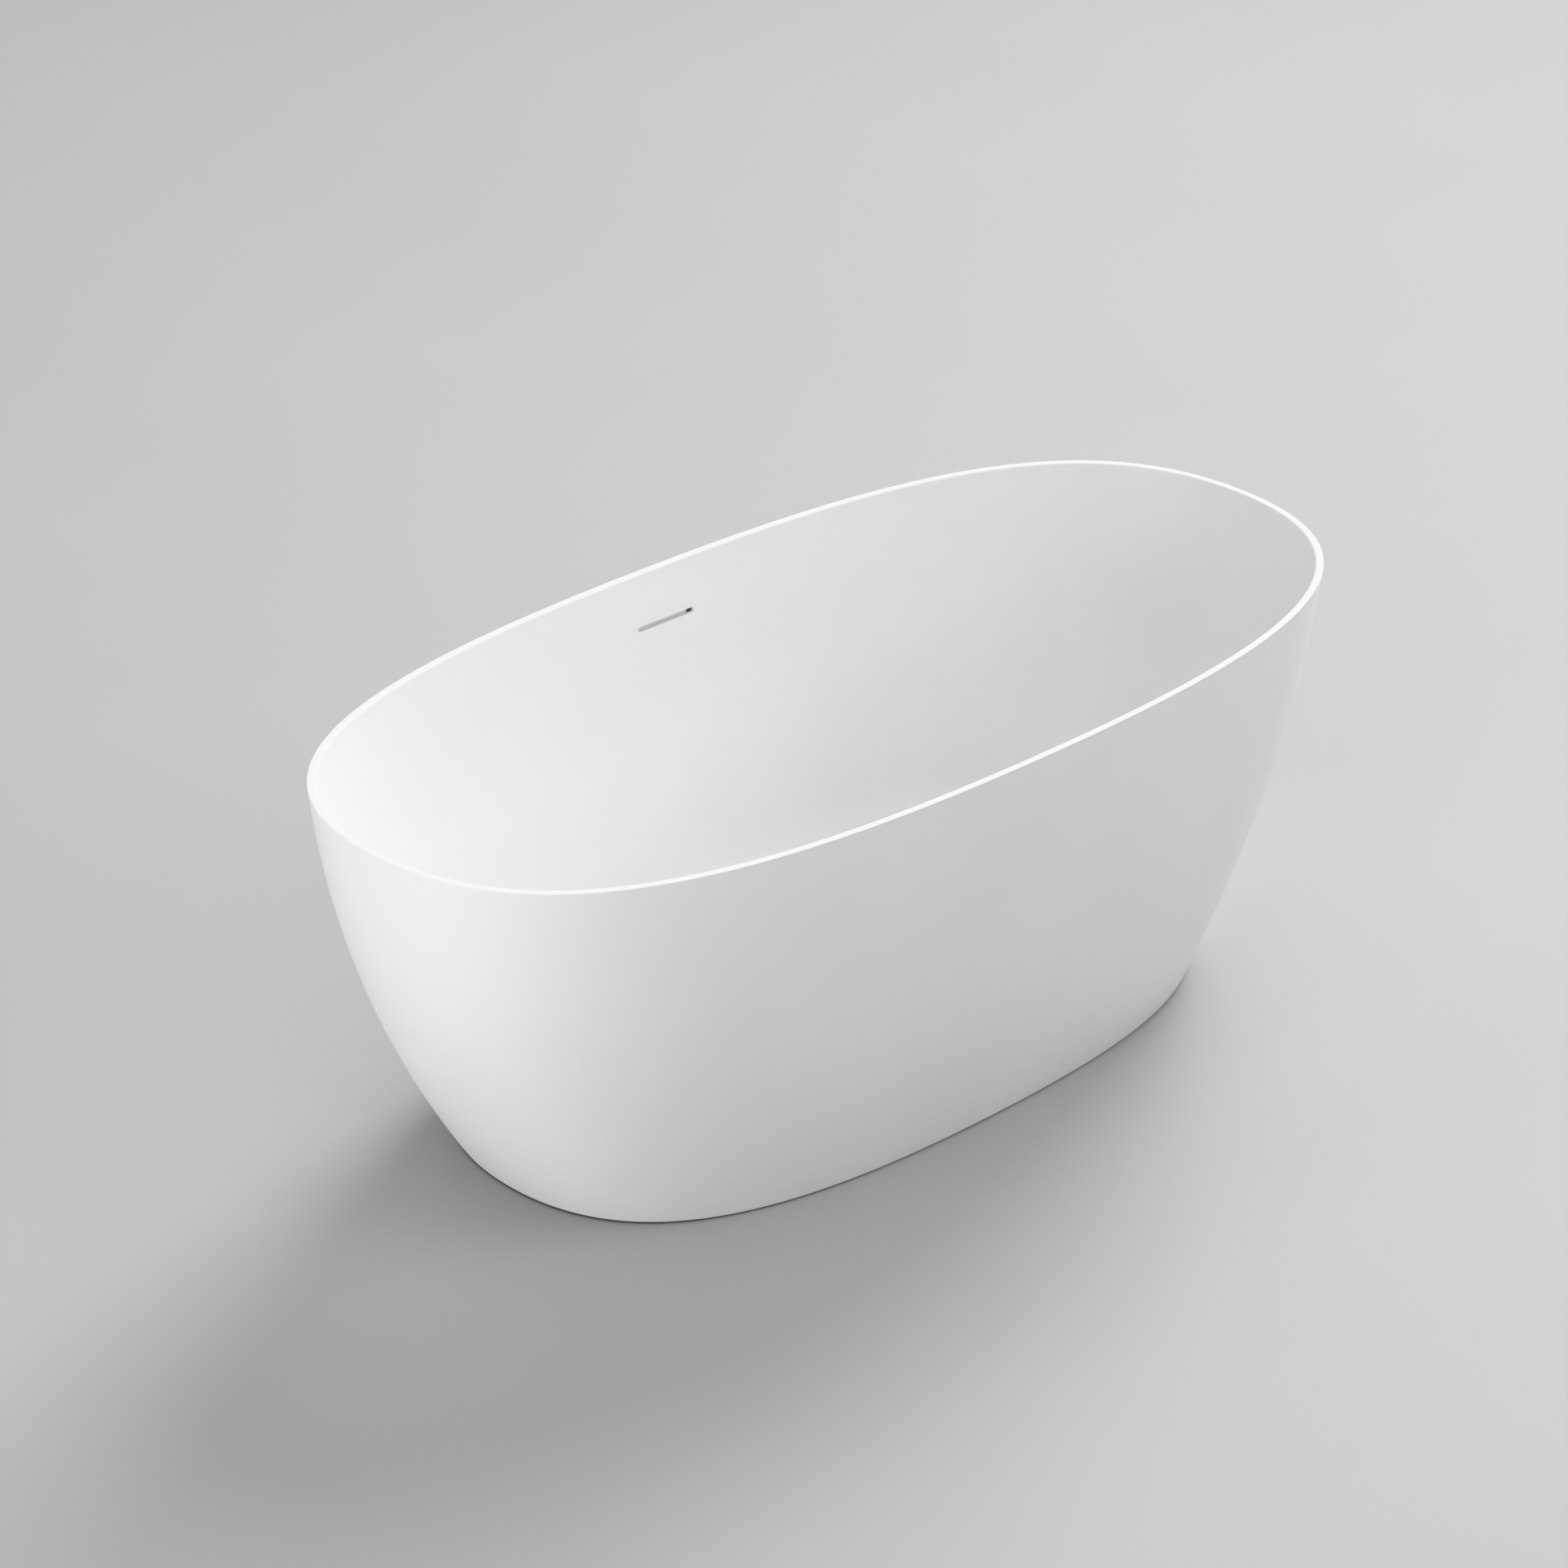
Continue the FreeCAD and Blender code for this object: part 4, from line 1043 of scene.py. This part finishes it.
# Where the picture's tones start to ease off, the most they reach, and where the curve is set.
TONE_KNEE = 0.80
TONE_CEILING = 0.965
TONE_POINTS = (0.7, 0.8, 0.85, 0.9, 1.0, 1.15, 1.4)
TONE_END = 2.0


def towards(azimuth, elevation, distance):
    """A point seen from the bath at this bearing from +X, elevation and distance."""
    azimuth, elevation = math.radians(azimuth), math.radians(elevation)
    flat = math.cos(elevation)
    return LIT_POINT + distance * Vector((flat * math.cos(azimuth), flat * math.sin(azimuth),
                                          math.sin(elevation)))


def add_light(name, kind, place, power, tint=PLAIN):
    """A light that faces the bath and stays out of the picture."""
    data = bpy.data.lights.new(name, kind)
    data.energy = power
    data.color = tint
    lamp = bpy.data.objects.new(name, data)
    lamp.location = place
    lamp.rotation_euler = (Vector(place) - LIT_POINT).to_track_quat("Z", "Y").to_euler()
    lamp.visible_camera = False
    bpy.context.scene.collection.objects.link(lamp)
    return lamp


def soft_light(name, place, width, height, power, tint=PLAIN):
    """A softbox of this width and height in metres, and power in watts."""
    lamp = add_light(name, "AREA", place, power, tint)
    lamp.data.shape = "RECTANGLE"
    lamp.data.size = width
    lamp.data.size_y = height
    return lamp


def rolled_off(light):
    """Tones above the knee ease towards the ceiling, as in a camera, and those below stay."""
    over = max(0.0, light - TONE_KNEE)
    room = TONE_CEILING - TONE_KNEE
    return min(light, TONE_KNEE) + room * (1 - math.exp(-over / room))


def soften_highlights(view):
    """Sets the view's combined curve, which is straight up to its second point."""
    view.use_curve_mapping = True
    view.curve_mapping.clip_max_x = TONE_END
    combined = view.curve_mapping.curves[3]
    combined.points[-1].location = (TONE_END, rolled_off(TONE_END))
    for light in TONE_POINTS:
        combined.points.new(light, rolled_off(light))
    for point in list(combined.points)[:2]:
        point.handle_type = "VECTOR"
    view.curve_mapping.update()


def keep_off(lamp, piece):
    """Keeps this lamp's light off one piece, as a studio flag does."""
    spared = bpy.data.collections.new(lamp.name + "_flag")
    spared.objects.link(piece)
    spared.collection_objects[0].light_linking.link_state = "EXCLUDE"
    lamp.light_linking.receiver_collection = spared


def make_studio():
    scene = bpy.context.scene
    scene.view_settings.view_transform = "Standard"
    soften_highlights(scene.view_settings)
    scene.world = bpy.data.worlds.new("studio")
    scene.world.use_nodes = True
    sky = scene.world.node_tree.nodes["Background"]
    sky.inputs["Color"].default_value = (*COOL, 1)
    sky.inputs["Strength"].default_value = SKY_STRENGTH
    corners = [(x * FLOOR_REACH, y * FLOOR_REACH, 0) for x, y in ((-1, -1), (1, -1), (1, 1), (-1, 1))]
    floor = make_object("floor", corners, [(0, 1, 2, 3)], floor_paper())
    for name, elevation, power in (("low_window", 20, 1.89), ("high_window", 40, 0.80)):
        window = add_light(name, "SUN", towards(23, elevation, 6), power, WARM)
        window.data.angle = WINDOW_SPREAD
    soft_light("key_softbox", towards(23, 40, 7), width=4.0, height=4.0, power=157)
    soft_light("back_softbox", towards(90, 50, 5), width=3.0, height=3.0, power=31, tint=COOL)
    soft_light("front_softbox", towards(300, 35, 5), width=3.0, height=3.0, power=66)
    soft_light("right_softbox", towards(-30, 15, 5), width=3.0, height=3.0, power=21)
    soft_light("left_softbox", (-1.2, -0.6, 2.6), width=1.5, height=1.5, power=17.5)
    low_panel = soft_light("low_left_panel", (-3.2, -0.3, 0.45), width=2.5, height=0.9, power=47)
    keep_off(low_panel, floor)


def floor_paper(name="floor_paper"):
    """Pale grey studio paper, faintly uneven."""
    made, tree, shader = material(name, FLOOR_GREY, 0.75, specular=0.25)
    cloud = pattern(tree, "ShaderNodeTexNoise", object_place(tree), scale=1.3, detail=3.0)
    greys = [(0.3, tone(FLOOR_GREY, 0.99)), (0.7, tone(FLOOR_GREY, 1.01))]
    tree.links.new(ramp(tree, cloud.outputs["Fac"], greys), shader.inputs["Base Color"])
    return made


# The whole ------------------------------------------------------------------------------------

# The CAD pieces that keep their shape, with their material and how wide their edges round.
SOFTENED = {
    "skirt_base_ring": (RING_FIBRE, 0.0015), "base_board": (BOARD, 0.0008),
    "frame_rail_front": (TUBE, 0.0007), "frame_rail_rear": (TUBE, 0.0007),
    "frame_cross_left": (TUBE, 0.0007), "frame_cross_right": (TUBE, 0.0007),
    "frame_end_caps": (BLACK, 0.0008), "frame_screws": (ZINC, 0.0008),
    "overflow_housing": (HOUSING, 0.0007), "drain_body": (GREY, 0.0006), "outlet_nut": (GREY, 0.0009),
    "outlet_tail": (GREY, 0.0003), "drain_flange": (CHROME, 0.0005), "click_cartridge": (BRASS, 0.0005),
}


def finish_nodes():
    """Gives the CAD nodes that stay their materials."""
    for name, obj in frame["nodes"].items():
        rubbery = name.endswith(("gasket", "seal", "washer"))
        finish = RUBBER if rubbery else BRASS if name == "plug_stem" else ZINC
        for slot in obj.material_slots:
            slot.material = finish


def main():
    make_camera()
    finish_nodes()
    stand_in(build_basin(), "inner_shell")
    stand_in(build_skirt(), "outer_skirt")
    for node, (finish, width) in SOFTENED.items():
        softened(node, finish, width)
    for corner in CORNERS:
        make_stud(corner)
        make_pad(corner)
    make_nuts("foot_weld_nuts")
    make_nuts("foot_lock_nuts")
    make_weld_beads()
    make_hose()
    make_plug_cap()
    make_studio()


main()
